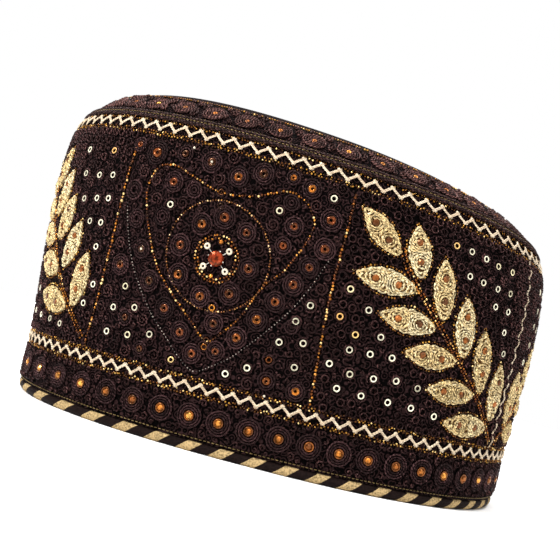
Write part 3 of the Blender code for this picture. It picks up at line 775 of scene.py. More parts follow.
def curled_stitching():
    """The height of close stitching: curls of thread in cells, drawn as rings, with fine fibre between."""
    group, given, put = new_group("curled_stitching", [], ["Height"])
    place = add_node(group, "TexCoord", {}, "Object")
    cells = add_node(group, "TexVoronoi", {"Vector": place, "Scale": 400.0}, "Distance")
    wave = maths(group, "SINE", maths(group, "MULTIPLY", cells, 18.0))
    fibre = add_node(group, "TexNoise", {"Vector": place, "Scale": 900.0, "Detail": 3.0})
    feed(group, put, {"Height": maths(group, "MULTIPLY_ADD", fibre, 0.6, wave)})
    return group


def flecks(tree, scale, low, high, darkest, lightest):
    """The mottling group, placed in a material with its own values."""
    values = {"Scale": scale, "Low": low, "High": high, "Darkest": darkest, "Lightest": lightest}
    return add_node(tree, "Group", values, node_tree=GROUPS["mottling"])


def new_material(name):
    """A material, its node tree and its surface shader."""
    made = bpy.data.materials.new(name)
    made.use_nodes = True
    return made, made.node_tree, made.node_tree.nodes["Principled BSDF"]


def thread_material(name, tones, ply_length, roughness, depth, gloss, painted_groove_shade, fibre_and_glint_specks):
    """A twisted thread: duller between its plies and painted darker there as shade, mottled by its fibre and
    by painted glint specks.
    """
    made, tree, shader = new_material(name)
    plies = add_node(tree, "Group", {"Ply Length": ply_length}, node_tree=GROUPS["twisted_thread"])
    fibre = flecks(tree, 1100.0, 0.35, 0.65, 1 - fibre_and_glint_specks, 1 + 0.5 * fibre_and_glint_specks)
    # Painted shade: the colour darkens in the grooves between the plies, and the fibre's mottle also paints
    # glint specks
    strength = maths(tree, "MULTIPLY", mapped(tree, plies, 0.0, 1.0, painted_groove_shade, 1.0), fibre)
    finish = {
        "Base Color": multiplied(tree, toned(tree, tones), strength),
        "Normal": bumped(tree, plies, 0.8, depth),
        "Roughness": mapped(tree, strength, 0.0, 1.0, 1.0, roughness),
        "Specular IOR Level": gloss,
        "Specular Tint": (1.0, 0.66, 0.63, 1.0),
    }
    feed(tree, shader, finish)
    return made


def cloth_material(name, dark, light):
    """Close dark or ivory stitching, painted lighter on its raised threads as highlight and darker in its
    hollows as shade.
    """
    made, tree, shader = new_material(name)
    height = add_node(tree, "Group", {}, node_tree=GROUPS["curled_stitching"])
    share = mapped(tree, height, -1.0, 1.6, 0.0, 1.0)
    finish = {
        # Painted light: the colour runs from painted shade in the hollows to painted highlights on the raised
        # curls
        "Base Color": ramped(tree, share, [(0.45, dark), (0.92, light)]),
        "Normal": bumped(tree, height, 0.7, 0.0004),
        "Roughness": 0.75,
        "Specular IOR Level": 0.02,
    }
    feed(tree, shader, finish)
    return made


def glossy_material(name, tones, metallic, roughness, coat, tint, clouds):
    """Beads, stones or metal, whose colour changes from one to the next and is clouded within each."""
    made, tree, shader = new_material(name)
    cloud = flecks(tree, 700.0, 0.38, 0.62, 1 - clouds, 1 + 0.3 * clouds)
    finish = {
        "Base Color": multiplied(tree, toned(tree, tones), cloud),
        "Specular Tint": (*tint, 1.0),
        "Metallic": metallic,
        "Roughness": roughness,
        "Coat Weight": coat,
        "Coat Roughness": 0.1,
    }
    feed(tree, shader, finish)
    return made


def striped_material(name):
    """The binding's ribbed cloth: slanting ivory and dark stripes, charted in its UV."""
    made, tree, shader = new_material(name)
    x, y = own_uv(tree)
    slant = maths(tree, "MULTIPLY_ADD", y, -0.36, x)
    colours = [(0.0, (0.50, 0.35, 0.165)), (0.43, (0.011, 0.0055, 0.0048))]
    stripes = ramped(tree, maths(tree, "FRACT", slant), colours, "CONSTANT")
    place = add_node(tree, "CombineXYZ", {"X": slant, "Y": y})
    waves = {"Vector": place, "Scale": 9.0, "Distortion": 0.4}
    ribs = add_node(tree, "TexWave", waves, "Fac", bands_direction="X")
    finish = {
        "Base Color": multiplied(tree, stripes, flecks(tree, 1500.0, 0.3, 0.6, 0.30, 1.0)),
        "Normal": bumped(tree, ribs, 0.6, 0.00015),
        "Roughness": 0.6,
        "Specular IOR Level": 0.04,
    }
    feed(tree, shader, finish)
    return made


# The cloth


def wall_cloth():
    """The wall's cloth: a quilted outer face, a plain inner one and a foot that seats on the binding."""
    around = round_the_cap(420)
    low, high = PIPING_HEIGHT + GAP, WALL_HEIGHT - SUNK - GAP
    a, u = np.meshgrid(around, np.linspace(low, high, 70))
    quilt = 0.00012 * np.sin(a / 0.0037 * math.pi) * np.sin(u / 0.0041 * math.pi)
    outer = raised(wall_face, a, u, quilt * np.sin(math.pi * (u - low) / (high - low)))
    inner = raised(wall_face, *np.meshgrid(around, np.linspace(high, low, 18)), SUNK - CLOTH)
    inner[-1, :, 2] = outer[0, :, 2]
    made = shell("wall_cloth", np.concatenate([outer, inner]), "ground_cloth")
    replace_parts(made, "wall")


def crown_cloth():
    """The crown's soft dome, with its plain inner face."""
    around = round_the_cap(300)
    reach = np.hypot(*plan(around)) * WALL_LEVELS[-1][1]
    shares = np.concatenate([np.linspace(0.002, 0.30, 34), np.linspace(0.33, 0.985, 26)])
    a = np.tile(around, (len(shares), 1))
    inward = shares[:, None] * reach
    outer = raised(crown_face, a, inward, 0.0)
    inner = raised(crown_face, a[::-3], inward[::-3], SUNK - CLOTH)
    loops = np.concatenate([outer[::-1], inner[::-1]])
    levels, count = loops.shape[:2]
    quads = grid(levels - 1, count)[0]
    top = np.arange(count)
    corners = np.concatenate([quads[:, ::-1].ravel(), top, top[::-1] + (levels - 1) * count])
    sizes = np.concatenate([np.full(len(quads), 4), [count, count]])
    made = make_piece("crown_cloth", loops.reshape(-1, 3), corners, sizes, "ground_cloth")
    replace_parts(made, "crown")


def rim_binding():
    """The folded binding: slanting stripes over a rolled edge."""
    columns = 720
    around = round_the_cap(columns)
    top = np.full(columns, PIPING_HEIGHT + GAP)
    out = directions(wall_face, around, top)[2]
    out[:, 2] = 0.0
    out = unit(out)
    loops = []
    for inward, up in BINDING_SECTION:
        loop = wall_face(around, top) + out * (PIPING_PROUD - PIPING_WIDTH * inward)
        loop[:, 2] = PIPING_HEIGHT * up
        loops.append(loop)
    stripes = np.interp(
        np.arange(columns + 1) / columns * GIRTH, *wider_on_the_left(STRIPE_PITCH, 0.40, -0.075, 0.040)
    )
    ups = np.array([up for inward, up in BINDING_SECTION][::-1])
    loops = np.array(loops)[::-1]
    phases = stripes - STRIPE_START
    made = shell("rim_binding", loops, "striped_binding_cloth", phases, np.append(ups, ups[0]))
    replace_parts(made, "rim_piping")


# The ground of coils


def heart_lines():
    """A heart panel's bead lines: the heart, its egg, the jewel's two circles and the outer heart."""
    turn = full_turn(240)
    circle = np.stack([np.cos(turn), np.sin(turn)], axis=1)
    return [
        smooth_line(HEART_LINE, 1.08, closed=True),
        spaced(circle * EGG_AXES + EGG_CENTRE, 0.96, closed=True),
        spaced(circle * CIRCLE_RADIUS, 1.1, closed=True),
        spaced(circle * 0.86 * CIRCLE_RADIUS, 1.2, closed=True),
        smooth_line(OUTER_HEART_LINE, 1.15),
    ]


def covered_spots():
    """Places that the large embroidery covers: around, level and radius of each."""
    spots = []
    for side, shift, leaves, stem, rings in SPRAYS:
        for leaf in leaves:
            for share in np.linspace(0.02, 0.98, 9):
                radius = (0.9 + LEAF_HALF_WIDTH * leaf_spread(share)) * MM
                spots.append((*leaf_points(side, shift, leaf, share, 0.0), radius))
        spots += [(*chart_place(side, shift + across, up), 1.3 * MM) for across, up in smooth_line(stem, 2.0)]
    for heart in HEARTS:
        spots += [(*heart_place(*heart, x, y), radius * MM) for x, y, radius, bead_tone_and_glint in HEART_ROSETTES]
        spots.append((*heart_place(*heart, 0.0, 0.0), 3.0 * MM))
        for line in heart_lines():
            spots += [(*heart_place(*heart, x, y), 0.45 * MM) for x, y in line[::2]]
    for side in (-1, 1):
        for divider in DIVIDERS:
            spots += [(*chart_place(side, across, up), 0.5 * MM) for across, up in smooth_line(divider, 2.0)]
    spots += [(around, ROW_HEIGHT, (ROW_RADIUS + 0.3) * MM) for around in row_places()]
    return np.array(spots, dtype=float)


def sequin_places():
    """The ring sequins: around, level and tone of the pale ones, and around and level of the gold ones."""
    pale, gold = [], []
    for side, shift, leaves, stem, rings in SPRAYS:
        for across, up in rings:
            pale.append((*chart_place(side, shift + across, up), WARM_RINGS.get((across, up), PALE)))
    for heart in HEARTS:
        pale += [(*heart_place(*heart, x, y), PALE) for x, y in HEART_RINGS]
        gold += [heart_place(*heart, x, y) for x, y in HEART_GOLD]
    return np.array(pale, dtype=float), np.array(gold, dtype=float)


def free_radius(around, level, spots):
    """How wide a coil may be at a place before it touches one of the spots."""
    away = (spots[:, 0] - around + 0.5 * GIRTH) % GIRTH - 0.5 * GIRTH
    return np.min(np.hypot(away, spots[:, 1] - level) - spots[:, 2])


def in_leaf_panel(around):
    """Whether a place lies in a leaf panel."""
    across = abs((around - SEAM + 0.5 * GIRTH) % GIRTH - 0.5 * GIRTH) / MM
    near, middle, far = (divider[1][0] for divider in DIVIDERS)
    return across < near or middle < across < far


def packed_coils(low, high, tries, spots, sizes, overlap=0.12 * MM):
    """Fills the room between two levels with coils, the widest first: around, level and radius of each."""
    found = [tuple(spot) for spot in spots]
    for size in sizes:
        taken = np.array(found)
        placed = [(9.0, 9.0, 0.0)]
        places = dice.uniform((0.0, low), (GIRTH, high), (tries, 2))
        rooms = [free_radius(around, level, taken) + overlap for around, level in places]
        for (around, level), room in zip(places, rooms):
            if room < size:
                continue
            edge = min(level - low, high - level) + 0.8 * MM
            room = min(room, min(free_radius(around, level, np.array(placed)), edge) + overlap)
            if room >= size:
                placed.append((around, level, min(room, size * 1.15)))
        found += placed[1:]
    return np.array(found[len(spots):])


def honeycomb(low, high, pitch, spots):
    """Rings in staggered rows over the leaf panels, where nothing else lies."""
    rows, columns = round((high - low) / (0.9 * pitch)), round(GIRTH / pitch)
    found = []
    for row in range(rows + 1):
        level = low + (high - low) * row / rows
        for column in range(columns):
            around = (column + 0.5 * (row % 2)) * GIRTH / columns
            spot = np.array([around, level]) + dice.uniform(-0.25, 0.25, 2) * MM
            if in_leaf_panel(around) and free_radius(*spot, spots) > 1.15 * MM:
                found.append((*spot, 1.7 * MM))
    return np.array(found)


def coil_paths(around, level, outer, inner, crown=0.22 * MM):
    """Spirals of cord about places of one size, higher towards their middles by the crown."""
    turns = max(0.8, (outer - inner) / CORD_PITCH)
    stations = max(7, round(turns * math.pi * (outer + inner) / (1.3 * MM)) + 1)
    share = np.linspace(0.0, 1.0, stations)[None, :]
    start = dice.uniform(0, 2 * math.pi, len(around))[:, None]
    hand = np.where(dice.random(len(around)) < 0.5, -1.0, 1.0)[:, None]
    radius = np.sqrt(outer**2 + (inner**2 - outer**2) * share)
    turn = start + hand * 2 * math.pi * (outer - radius) / max(outer - inner, 1e-6) * turns
    height = np.broadcast_to(0.42 * MM + crown * share, turn.shape)
    places = [around[:, None] + radius * np.cos(turn), level[:, None] + radius * np.sin(turn), height]
    return np.stack(places, axis=-1)


def coil_field(name, coils, groups, kind="ground_coil", face=wall_face):
    """Coils of many sizes, made size by size and joined."""
    pieces = []
    for part in np.array_split(coils[np.argsort(coils[:, 2])], groups):
        around, level, radius = part.T
        outer = float(np.mean(radius)) - 0.38 * MM
        paths = coil_paths(around, level, outer, min(0.45 * MM, 0.6 * outer))
        pieces.append(cords(name, paths, kind, face))
    return joined(name, pieces)


def ground_coils():
    """The dark ground: coils round the sequins, and coils and curls wherever there is room."""
    covered = covered_spots()
    sequins = np.concatenate([places[:, :2] for places in sequin_places()])
    held = []
    for around, level in sequins:
        others = sequins[np.hypot(sequins[:, 0] - around, sequins[:, 1] - level) > 0.1 * MM]
        others = np.column_stack([others, np.full(len(others), 2.6 * MM)])
        room = min(free_radius(around, level, covered), free_radius(around, level, others))
        held.append((around, level, min(2.95 * MM, max(room, 2.1 * MM))))
    held = np.array(held)
    paths = coil_paths(held[:, 0], held[:, 1], 2.35 * MM, 1.35 * MM, crown=0.1 * MM)
    cords("sequin_coils", paths, "ground_coil")
    low, high = LOWER_BRAID + BRAID_MARGIN, UPPER_BRAID - BRAID_MARGIN
    rings = honeycomb(low + 0.9 * MM, high - 0.9 * MM, 3.5 * MM, np.concatenate([covered, held]))
    rosettes("ground_rings", rings[:, 0], rings[:, 1], (1.22,), "ground_ring")
    spots = np.concatenate([covered, held, rings])
    middle = packed_coils(low, high, 9000, spots, [2.9 * MM, 2.3 * MM, 1.8 * MM, 1.35 * MM, 1.0 * MM])
    coil_field("ground_coils", middle, 7)
    low, high = PIPING_HEIGHT + 2.2 * MM, LOWER_BRAID - 3.5 * MM
    coil_field("low_coils", packed_coils(low, high, 5000, covered, [1.7 * MM, 1.25 * MM, 0.95 * MM]), 4)


def dark_grain():
    """Small knots of thread in the chinks between the coils."""
    count = 3200
    around = dice.uniform(0.0, GIRTH, count)
    level = dice.uniform(LOWER_BRAID + 3.2 * MM, UPPER_BRAID - 3.2 * MM, count)
    scatter("dark_knots", "knot", spots_at(around, level, 0.22 * MM, 0.42 * MM), "dark_thread")


# Rosettes and stones


def rosettes(name, around, level, radii, kind="rosette_ring", face=wall_face, scale=MM, squeezed=1.0):
    """Rosettes of raised cord rings round each place: the radii are in millimetres or in a scale for each.

    Squeezed is their height as a share of their width, where the level is measured level and the face slopes.
    """
    around, level = around[:, None], np.broadcast_to(level, len(around))[:, None]
    scale = np.broadcast_to(scale, len(around))[:, None]
    pieces = []
    for number, radius in enumerate(sorted(radii, reverse=True)):
        stations = max(10, 2 * round(math.pi * radius * float(np.mean(scale)) / (1.0 * MM)))
        turn = full_turn(stations) + dice.uniform(0, 1, len(around))[:, None]
        wobble = radius * scale * (1 + 0.02 * np.sin(3 * turn + around * 900))
        height = np.full_like(turn, (0.55 - 0.06 * number) * MM)
        places = [around + wobble * np.cos(turn), level + wobble * squeezed * np.sin(turn), height]
        pieces.append(cords(name, np.stack(places, axis=-1), kind, face, closed=True))
    return joined(name, pieces)


def lower_row():
    """The row of rosettes above the rim, with its amber stones."""
    around = row_places()
    rings = rosettes("row_rosettes", around, ROW_HEIGHT, (2.40, 3.25, ROW_RADIUS - 0.4))
    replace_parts(rings, "rosette_row")
    scatter("row_stones", "stone", spots_at(around, ROW_HEIGHT, 0.45 * MM, 1.15 * MM), "amber_stone")
    scatter("row_cups", "cup", spots_at(around, ROW_HEIGHT, 0.75 * MM, 1.75 * MM), "brown_stone")


def heart_rosettes():
    """The small rosettes of the heart panels, most with a brown ring bead, and the small pale beads that
    paint white glints.
    """
    rows = [(*heart_place(*heart, x, y), *rest) for heart in HEARTS for x, y, *rest in HEART_ROSETTES]
    around, level, radius, bead_tone_and_glint = np.array(rows, dtype=float).T
    size = radius * MM - 0.45 * MM
    bare = bead_tone_and_glint == 0
    every = np.full(len(size), True)
    rings = []
    for chosen, inset in ((every, 0.0), (every, 0.82), (~bare & (radius > 3.3), 1.64), (bare, 1.75)):
        scale = size[chosen] - inset * MM
        rings.append(rosettes("heart_rosettes", around[chosen], level[chosen], (1.0,), scale=scale))
    joined("heart_rosettes", rings)
    spots = spots_at(around[~bare], level[~bare], 0.65 * MM, 0.43 * radius[~bare] * MM)
    # The glass tone gives each bead's colour and also paints its glint
    scatter("rosette_beads", "brown_ring", spots, "brown_glass", tone=bead_tone_and_glint[~bare])
    # Pale beads that stand for white glints: painted highlights
    places = [heart_place(*heart, x, y) for heart in HEARTS for x, y in HEART_PAINTED_GLINTS]
    lights = [(*place, 0.9 * MM, 0.0, 0.5 * MM) for place in places]
    scatter("heart_painted_glints", "bead", lights, "pearl")


def crown_row():
    """The crown's sloping row of rosettes, its stones and the coils between them."""
    count = round(GIRTH / CROWN_ROW_PITCH)
    around = (np.arange(count) + 0.35) * GIRTH / count
    radii = (1.60, 2.60, 3.60, 4.55)
    rosettes("crown_rosettes", around, CROWN_ROW, radii, "crown_ring", crown_face, squeezed=0.54)
    stones = spots_at(around, CROWN_ROW, 0.55 * MM, 0.95 * MM)
    scatter("crown_stones", "brown_ring", stones, "amber_stone", crown_face)
    spots = [(place, CROWN_ROW, 3.6 * MM) for place in around]
    coils = packed_coils(0.6 * MM, CROWN_LINE - 0.6 * MM, 2600, spots, [1.9 * MM, 1.4 * MM, 1.0 * MM])
    coil_field("crown_coils", coils, 4, "crown_coil", crown_face)


# Leaves


def leaf_spread(share):
    """A leaf's half width along its length, as a share: from its round base at 0 to its sharp tip at 1."""
    share = np.clip(share, 0.0, 1.0)
    return np.sin(math.pi * share) ** (0.70 + 0.32 * share)


def leaf_points(side, shift, leaf, along, across):
    """Places on a leaf: along from its base at 0 to its tip at 1, across in half widths."""
    tip, base = np.array(leaf[:2]), np.array(leaf[2:])
    run = tip - base
    way = run / np.linalg.norm(run)
    spot = base + np.asarray(along)[..., None] * run
    spot = spot + (np.asarray(across) * LEAF_HALF_WIDTH)[..., None] * np.array([-way[1], way[0]])
    return chart_place(side, shift + spot[..., 0], spot[..., 1])


def leaf_pads(number, side, shift, leaves):
    """The padded beds of a spray's leaves, as one mesh, much darker than the ivory thread: painted shade
    between the coils.
    """
    ring = 28
    turn = full_turn(ring)
    along = 0.5 - 0.5 * np.cos(turn)
    across = np.sign(np.sin(turn)) * leaf_spread(along)
    across[[0, ring // 2]] = 0.0
    points = []
    for leaf in leaves:
        for spread, height in PAD_LEVELS:
            place = leaf_points(side, shift, leaf, 0.5 + (along - 0.5) * spread, across * spread)
            points.append(raised(wall_face, *place, height * MM))
    foot = np.arange(ring)
    faces = [*grid(len(PAD_LEVELS) - 1, ring)[0], foot[::-1], foot + (len(PAD_LEVELS) - 1) * ring]
    if side > 0:
        faces = [face[::-1] for face in faces]
    firsts = np.arange(len(leaves))[:, None] * len(PAD_LEVELS) * ring
    corners = (firsts + np.concatenate(faces)).ravel()
    sizes = np.tile([len(face) for face in faces], len(leaves))
    made = make_piece(f"leaf_pads_{number}", np.concatenate(points), corners, sizes, "ivory_pad_painted_shade")
    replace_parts(made, f"leaf_spray_{number}")


def leaf_coils(leaves, side, shift):
    """The ivory thread of each leaf: two coils about its stones, held inside its outline."""
    turns, stations = 3.4, 58
    share = np.linspace(0.0, 1.0, stations)
    paths = []
    for leaf in leaves:
        length = math.hypot(leaf[0] - leaf[2], leaf[1] - leaf[3])
        for stone, hand in zip(LEAF_STONES, (1.0, -1.0)):
            middle = 1 - stone
            outward = 1.0 if middle > 0.5 else -1.0
            turn = hand * share * 2 * math.pi * turns + dice.uniform(0, 6.28)
            reach = 1.25 + (4.3 - 1.25) * share
            stretch = 1 + 0.55 * share**2 * np.clip(outward * np.cos(turn), 0, 1)
            reach = reach + dice.normal(0.0, 0.10, stations)
            along = np.clip(middle + reach * stretch * np.cos(turn) / length, 0.03, 0.97)
            along = np.maximum(along, 0.505) if outward > 0 else np.minimum(along, 0.495)
            spread = leaf_spread(along)
            across = np.clip(reach * np.sin(turn) / LEAF_HALF_WIDTH, -0.93 * spread, 0.93 * spread)
            bed = 0.80 - 0.35 * np.clip(np.abs(across) / np.maximum(spread, 0.05), 0, 1) ** 2
            wobble = 0.10 * np.sin(share * 90.0 + middle * 5) + dice.normal(0.0, 0.05, stations)
            place = leaf_points(side, shift, leaf, along, across)
            paths.append(np.stack([*place, (bed + 0.24 + wobble) * MM], axis=-1))
    return paths


def leaf_edges(leaves, side, shift, inset, height):
    """An ivory thread that loops along each leaf's outline."""
    turn = full_turn(72)
    along = 0.5 - 0.47 * np.cos(turn)
    across = np.sign(np.sin(turn)) * leaf_spread(along) * (inset + 0.09 * np.sin(18 * turn))
    across[0] = 0.0
    level = np.full(len(turn), height * MM)
    return [np.stack([*leaf_points(side, shift, leaf, along, across), level], axis=-1) for leaf in leaves]


def leaf_knots(side, shift, leaf):
    """The raised knots of a leaf's chain stitch."""
    count = 60
    along = dice.uniform(0.06, 0.94, count)
    across = dice.uniform(-0.92, 0.92, count) * leaf_spread(along)
    height = 1.05 - 0.40 * (across / leaf_spread(along)) ** 2
    spots = spots_at(*leaf_points(side, shift, leaf, along, across), height * MM, 1.0)
    spots[:, 4] = dice.uniform(0.32, 0.48, count) * MM
    return spots


def leaf_sprays():
    """The four sprays: padded leaves, their coils, edges, knots and stones."""
    stones, knots = [], []
    for number, (side, shift, leaves, stem, rings) in enumerate(SPRAYS, start=1):
        leaf_pads(number, side, shift, leaves)
        cords(f"leaf_coils_{number}", leaf_coils(leaves, side, shift), "leaf_coil")
        edges = leaf_edges(leaves, side, shift, 0.92, 0.42) + leaf_edges(leaves, side, shift, 0.70, 0.66)
        cords(f"leaf_edges_{number}", edges, "leaf_edge", closed=True)
        for leaf in leaves:
            knots.append(leaf_knots(side, shift, leaf))
            for share in LEAF_STONES:
                place = leaf_points(side, shift, leaf, 1 - share, 0.0)
                stones.append((*place, 0.80 * MM, dice.uniform(0, 6.28), 1.25 * MM))
    scatter("leaf_stones", "stone", stones, "brown_stone")
    scatter("leaf_knots", "knot", np.concatenate(knots), "ivory_thread")


# Braids, welt and running stitch


def zigzag_strokes(start, run, level, pitch, swing, upright=False):
    """Herringbone strokes of paired strands: bars that cross a little past each other at the turns."""
    count = round(run / pitch)
    step = run / count
    share = np.linspace(-0.70, 0.70, 6)
    paths = []
    for middle in range(2 * count):
        lean = 1 if middle % 2 == 0 else -1
        along = start + (middle // 2 + (0.25 if lean > 0 else 0.75)) * step + share * 0.5 * step
        height = (0.75 + 0.22 * lean * np.cos(share * math.pi)) * MM
        for shift in (-0.19 * MM, 0.19 * MM):
            across = level + lean * share * swing + (shift if upright else -lean * shift) * 0.6
            places = (across, along + shift * 0.8) if upright else (along + shift * 0.8, across)
            paths.append(np.stack([*places, height], axis=-1))
    return paths


def braids():
    """The ivory zigzags."""
    rows = (("lower", LOWER_BRAID, LOWER_BRAID_PITCH), ("upper", UPPER_BRAID, UPPER_BRAID_PITCH))
    for name, level, pitch in rows:
        made = cords(f"{name}_braid", zigzag_strokes(0.0, GIRTH, level, pitch, BRAID_SWING), "braid")
        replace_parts(made, f"{name}_zigzag")
    low, high = LOWER_BRAID + BRAID_MARGIN, UPPER_BRAID - BRAID_MARGIN
    swing = 0.65 * BRAID_SWING
    strokes = zigzag_strokes(low, high - low, SEAM - 0.9 * MM, LOWER_BRAID_PITCH, swing, upright=True)
    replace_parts(cords("seam_braid", strokes, "seam_braid"), "seam_zigzag")


def welt():
    """The rolled welt over the crown's seam: two dark cords, each of two plies wound about one another."""
    around = round_the_cap(round(GIRTH / (0.42 * MM)))
    turns, radius = round(GIRTH / (2.6 * MM)), 0.40 * MM
    plies = []
    for level, proud in ((WELT_HEIGHT + 0.55 * MM, 1.05 * MM), (WELT_HEIGHT - 1.00 * MM, 0.95 * MM)):
        for ply in (0.0, 0.5):
            angle = 2 * math.pi * (around / GIRTH * turns + ply)
            places = [around, level + radius * np.cos(angle), proud + radius * np.sin(angle)]
            plies.append(np.stack(places, axis=-1))
    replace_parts(cords("welt_cords", plies, "welt_ply", closed=True), "crown_welt")


def gold_stitches():
    """The broken gold lines of running stitch: beside the welt's cords and above the binding."""
    count = round(GIRTH / (1.5 * MM))
    share = np.linspace(0.0, 1.0, 4)
    paths = []
    for level, proud in GOLD_LINES:
        height = proud + 0.12 * MM * np.sin(math.pi * share)
        for start in np.arange(count) * GIRTH / count:
            paths.append(np.stack([start + share * 1.0 * MM, np.full(4, level), height], axis=-1))
    cords("gold_stitches", paths, "gold_stitch")


# Beads, sequins and jewels


def braid_beads():
    """The scattered bead rows on both sides of the zigzag braids."""
    count = round(GIRTH / (1.25 * MM))
    rows = []
    for braid in (LOWER_BRAID, UPPER_BRAID):
        for offset in BRAID_BEAD_ROWS:
            around = (np.arange(count) + (0.5 if abs(offset) > 2.5 else 0.0)) * GIRTH / count
            rows.append(bead_line(around, braid + offset * MM, 0.38 * MM, loose=0.45))
    scatter("braid_beads", "bead", np.concatenate(rows), "bronze_beads")


def spray_beads():
    """The beads along the stems and round the leaves."""
    turn = full_turn(120)
    along = 0.5 - 0.54 * np.cos(turn)
    across = np.sign(np.sin(turn)) * (leaf_spread(along) + 0.19 * np.abs(np.sin(turn)) ** 0.3)
    outlines, stems = [], []
    for side, shift, leaves, stem, rings in SPRAYS:
        line = smooth_line(stem, 1.1)
        run = unit(np.gradient(line, axis=0))
        for offset in (-0.62, 0.62):
            beside = line + np.stack([-run[:, 1], run[:, 0]], axis=1) * offset
            place = chart_place(side, shift + beside[:, 0], beside[:, 1])
            stems.append(bead_line(*place, 0.43 * MM, loose=0.25))
        for leaf in leaves:
            outline = np.stack(leaf_points(side, shift, leaf, along, across), axis=1)
            outlines.append(bead_line(*spaced(outline, 1.1 * MM, closed=True).T, 0.40 * MM, loose=0.3))
    scatter("leaf_beads", "bead", np.concatenate(outlines), "bronze_beads")
    scatter("stem_beads", "bead", np.concatenate(stems), "gold_beads")


def heart_beads():
    """The bead lines of the heart panels and between the panels."""
    heart_line, egg, *circles, outer_heart = heart_lines()
    gold, bronze, silver = [], [], []
    for heart in HEARTS:
        bronze.append(bead_line(*heart_place(*heart, *egg.T), 0.36 * MM, 0.6, 0.2))
        for line in (heart_line, *circles):
            gold.append(bead_line(*heart_place(*heart, *line.T), 0.43 * MM, 0.55, 0.22))
        silver.append(bead_line(*heart_place(*heart, *outer_heart.T), 0.27 * MM, 0.6))
    for side in (-1, 1):
        for divider in DIVIDERS:
            gold.append(bead_line(*chart_place(side, *smooth_line(divider, 1.12).T), 0.54 * MM, loose=0.2))
    for name, lines in (("gold_beads", gold), ("egg_beads", bronze), ("silver_beads", silver)):
        scatter(name, "bead", np.concatenate(lines), name)


def crown_beads():
    """The gold line between the crown's sloping row and its top."""
    count = round(GIRTH * 0.90 / (1.05 * MM))
    around = np.arange(count) * GIRTH / count
    scatter("crown_beads", "bead", bead_line(around, CROWN_LINE, 0.44 * MM, 0.4), "bronze_beads", crown_face)


def ring_sequins():
    """The pale ring sequins of all panels, and the few gold ones."""
    pale, gold = sequin_places()
    spots = spots_at(pale[:, 0], pale[:, 1], 0.85 * MM, 1.24 * MM)
    tone = pale[:, 2] + np.where(pale[:, 2] > 0.5, dice.uniform(-0.4, 0.4, len(pale)), 0.0)
    scatter("ring_sequins", "pale_ring", spots, "pale_sequin", tone=tone)
    scatter("gold_sequins", "pale_ring", spots_at(*gold.T, 0.7 * MM, 1.15 * MM), "gold_beads")


def jewels():
    """The red stone of each heart, its silver setting and four pearls."""
    for number, heart in enumerate(HEARTS, start=1):
        middle = [(*heart_place(*heart, 0.0, 0.0), 0.7 * MM, 0.3, 2.75 * MM)]
        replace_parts(scatter(f"jewel_stone_{number}", "jewel", middle, "red_stone"), f"heart_jewel_{number}")
        gold = [(*heart_place(*heart, x, y), 0.7 * MM, 0.0, 0.85 * MM) for x, y in JEWEL_GOLD]
        scatter(f"jewel_gold_{number}", "bead", gold, "amber_stone")
        pearls, spokes, prongs = [], [], []
        for turn in map(math.radians, JEWEL_TURNS):
            x, y = math.cos(turn), math.sin(turn)
            pearls.append((*heart_place(*heart, PEARL_REACH * x, PEARL_REACH * y), 1.0 * MM, turn, 1.20 * MM))
            reach = np.linspace(*SPOKE_REACH, 6)
            place = heart_place(*heart, reach * x, reach * y)
            spokes.append(np.stack([*place, np.full(6, 0.8 * MM)], axis=-1))
            x, y = PRONG_REACH * math.cos(turn + 0.5), PRONG_REACH * math.sin(turn + 0.5)
            prongs.append((*heart_place(*heart, x, y), 1.5 * MM, turn, 0.34 * MM))
        scatter(f"jewel_pearls_{number}", "pearl_ring", pearls, "pearl")
        cords(f"jewel_spokes_{number}", spokes, "spoke")
        scatter(f"jewel_prongs_{number}", "bead", prongs, "silver")


# The stage


def studio_world():
    """White paper behind the cap, and a softer light from all round."""
    world = bpy.data.worlds.new("studio")
    bpy.context.scene.world = world
    world.use_nodes = True
    tree = world.node_tree
    light = tree.nodes["Background"]
    feed(tree, light, {"Color": (*WHITE, 1.0), "Strength": 0.30})
    paper = add_node(tree, "Background", {"Color": (*WHITE, 1.0), "Strength": 1.0})
    seen = add_node(tree, "LightPath", {}, "Is Camera Ray")
    mix = add_node(tree, "MixShader", {"Fac": seen, 1: light.outputs["Background"], 2: paper})
    feed(tree, tree.nodes["World Output"], {"Surface": mix})
    bpy.context.scene.view_settings.view_transform = "Standard"


def area_light(name, place, size, power):
    """A soft square light that faces the cap."""
    data = bpy.data.lights.new(name, "AREA")
    data.size = size
    data.energy = power
    light = bpy.data.objects.new(name, data)
    bpy.context.scene.collection.objects.link(light)
    aim = Vector((0.0, 0.0, 0.06)) - Vector(place)
    light.matrix_world = Matrix.Translation(place) @ aim.to_track_quat("-Z", "Y").to_matrix().to_4x4()


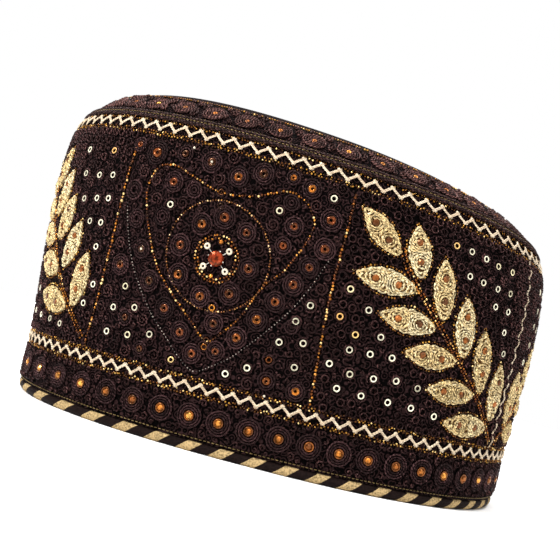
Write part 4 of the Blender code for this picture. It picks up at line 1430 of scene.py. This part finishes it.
def stage():
    """A pale floor and backdrop, soft lights and the camera."""
    start_model()
    bpy.ops.mesh.primitive_circle_add(vertices=96, radius=1.3, fill_type="NGON")
    floor = bpy.context.object
    floor.name = "floor"
    made, tree, shader = new_material("floor_paint")
    place = add_node(tree, "TexCoord", {}, "Object")
    grain = add_node(tree, "TexNoise", {"Vector": place, "Scale": 60.0})
    white = ramped(tree, grain, [(0.0, (0.94, 0.94, 0.94)), (1.0, (0.96, 0.96, 0.96))])
    feed(tree, shader, {"Base Color": white, "Roughness": 0.9, "Specular IOR Level": 0.1})
    floor.data.materials.append(made)
    studio_world()
    area_light("key", (-0.70, -0.80, 0.85), 0.25, 20.5)
    area_light("fill", (0.85, -0.80, 0.40), 0.8, 4.6)
    area_light("top", (0.0, 0.15, 1.50), 2.2, 62.0)

    camera = bpy.data.objects.new("camera", bpy.data.cameras.new("camera"))
    bpy.context.scene.collection.objects.link(camera)
    forward, up = Vector(CAMERA_FORWARD), Vector(CAMERA_UP)
    turned = Matrix((forward.cross(up), up, -forward)).transposed().to_4x4()
    camera.matrix_world = Matrix.Translation(CAMERA_PLACE) @ turned
    camera.data.lens = CAMERA_LENS
    camera.data.sensor_width = 36.0
    camera.data.clip_start = 0.01
    bpy.context.scene.camera = camera


GROUPS = {"twisted_thread": twisted_thread(), "mottling": mottling(), "curled_stitching": curled_stitching()}
MATERIALS = {
    "ground_cloth": cloth_material("ground_cloth", (0.0008, 0.0004, 0.0004), (0.024, 0.0115, 0.0115)),
    # The ivory pad is far darker than the ivory thread: painted shade where it shows between the leaf coils
    "ivory_pad_painted_shade": cloth_material("ivory_pad_painted_shade", (0.05, 0.020, 0.006), (0.34, 0.21, 0.08)),
    "striped_binding_cloth": striped_material("striped_binding_cloth"),
    **{name: thread_material(name, *finish) for name, finish in THREADS.items()},
    **{name: glossy_material(name, *finish) for name, finish in GLOSSY.items()},
}
MODELS = {
    "bead": bead_model(6),
    "knot": bead_model(4),
    "pale_ring": ring_model(0.58),
    "brown_ring": ring_model(0.28),
    "cup": ring_model(0.66),
    "pearl_ring": ring_model(0.32),
    "stone": stone_model(10, 1),
    "jewel": stone_model(12, 2),
}

wall_cloth()
crown_cloth()
rim_binding()
welt()
gold_stitches()
braids()
ground_coils()
dark_grain()
lower_row()
heart_rosettes()
crown_row()
leaf_sprays()
braid_beads()
spray_beads()
heart_beads()
crown_beads()
ring_sequins()
jewels()
stage()
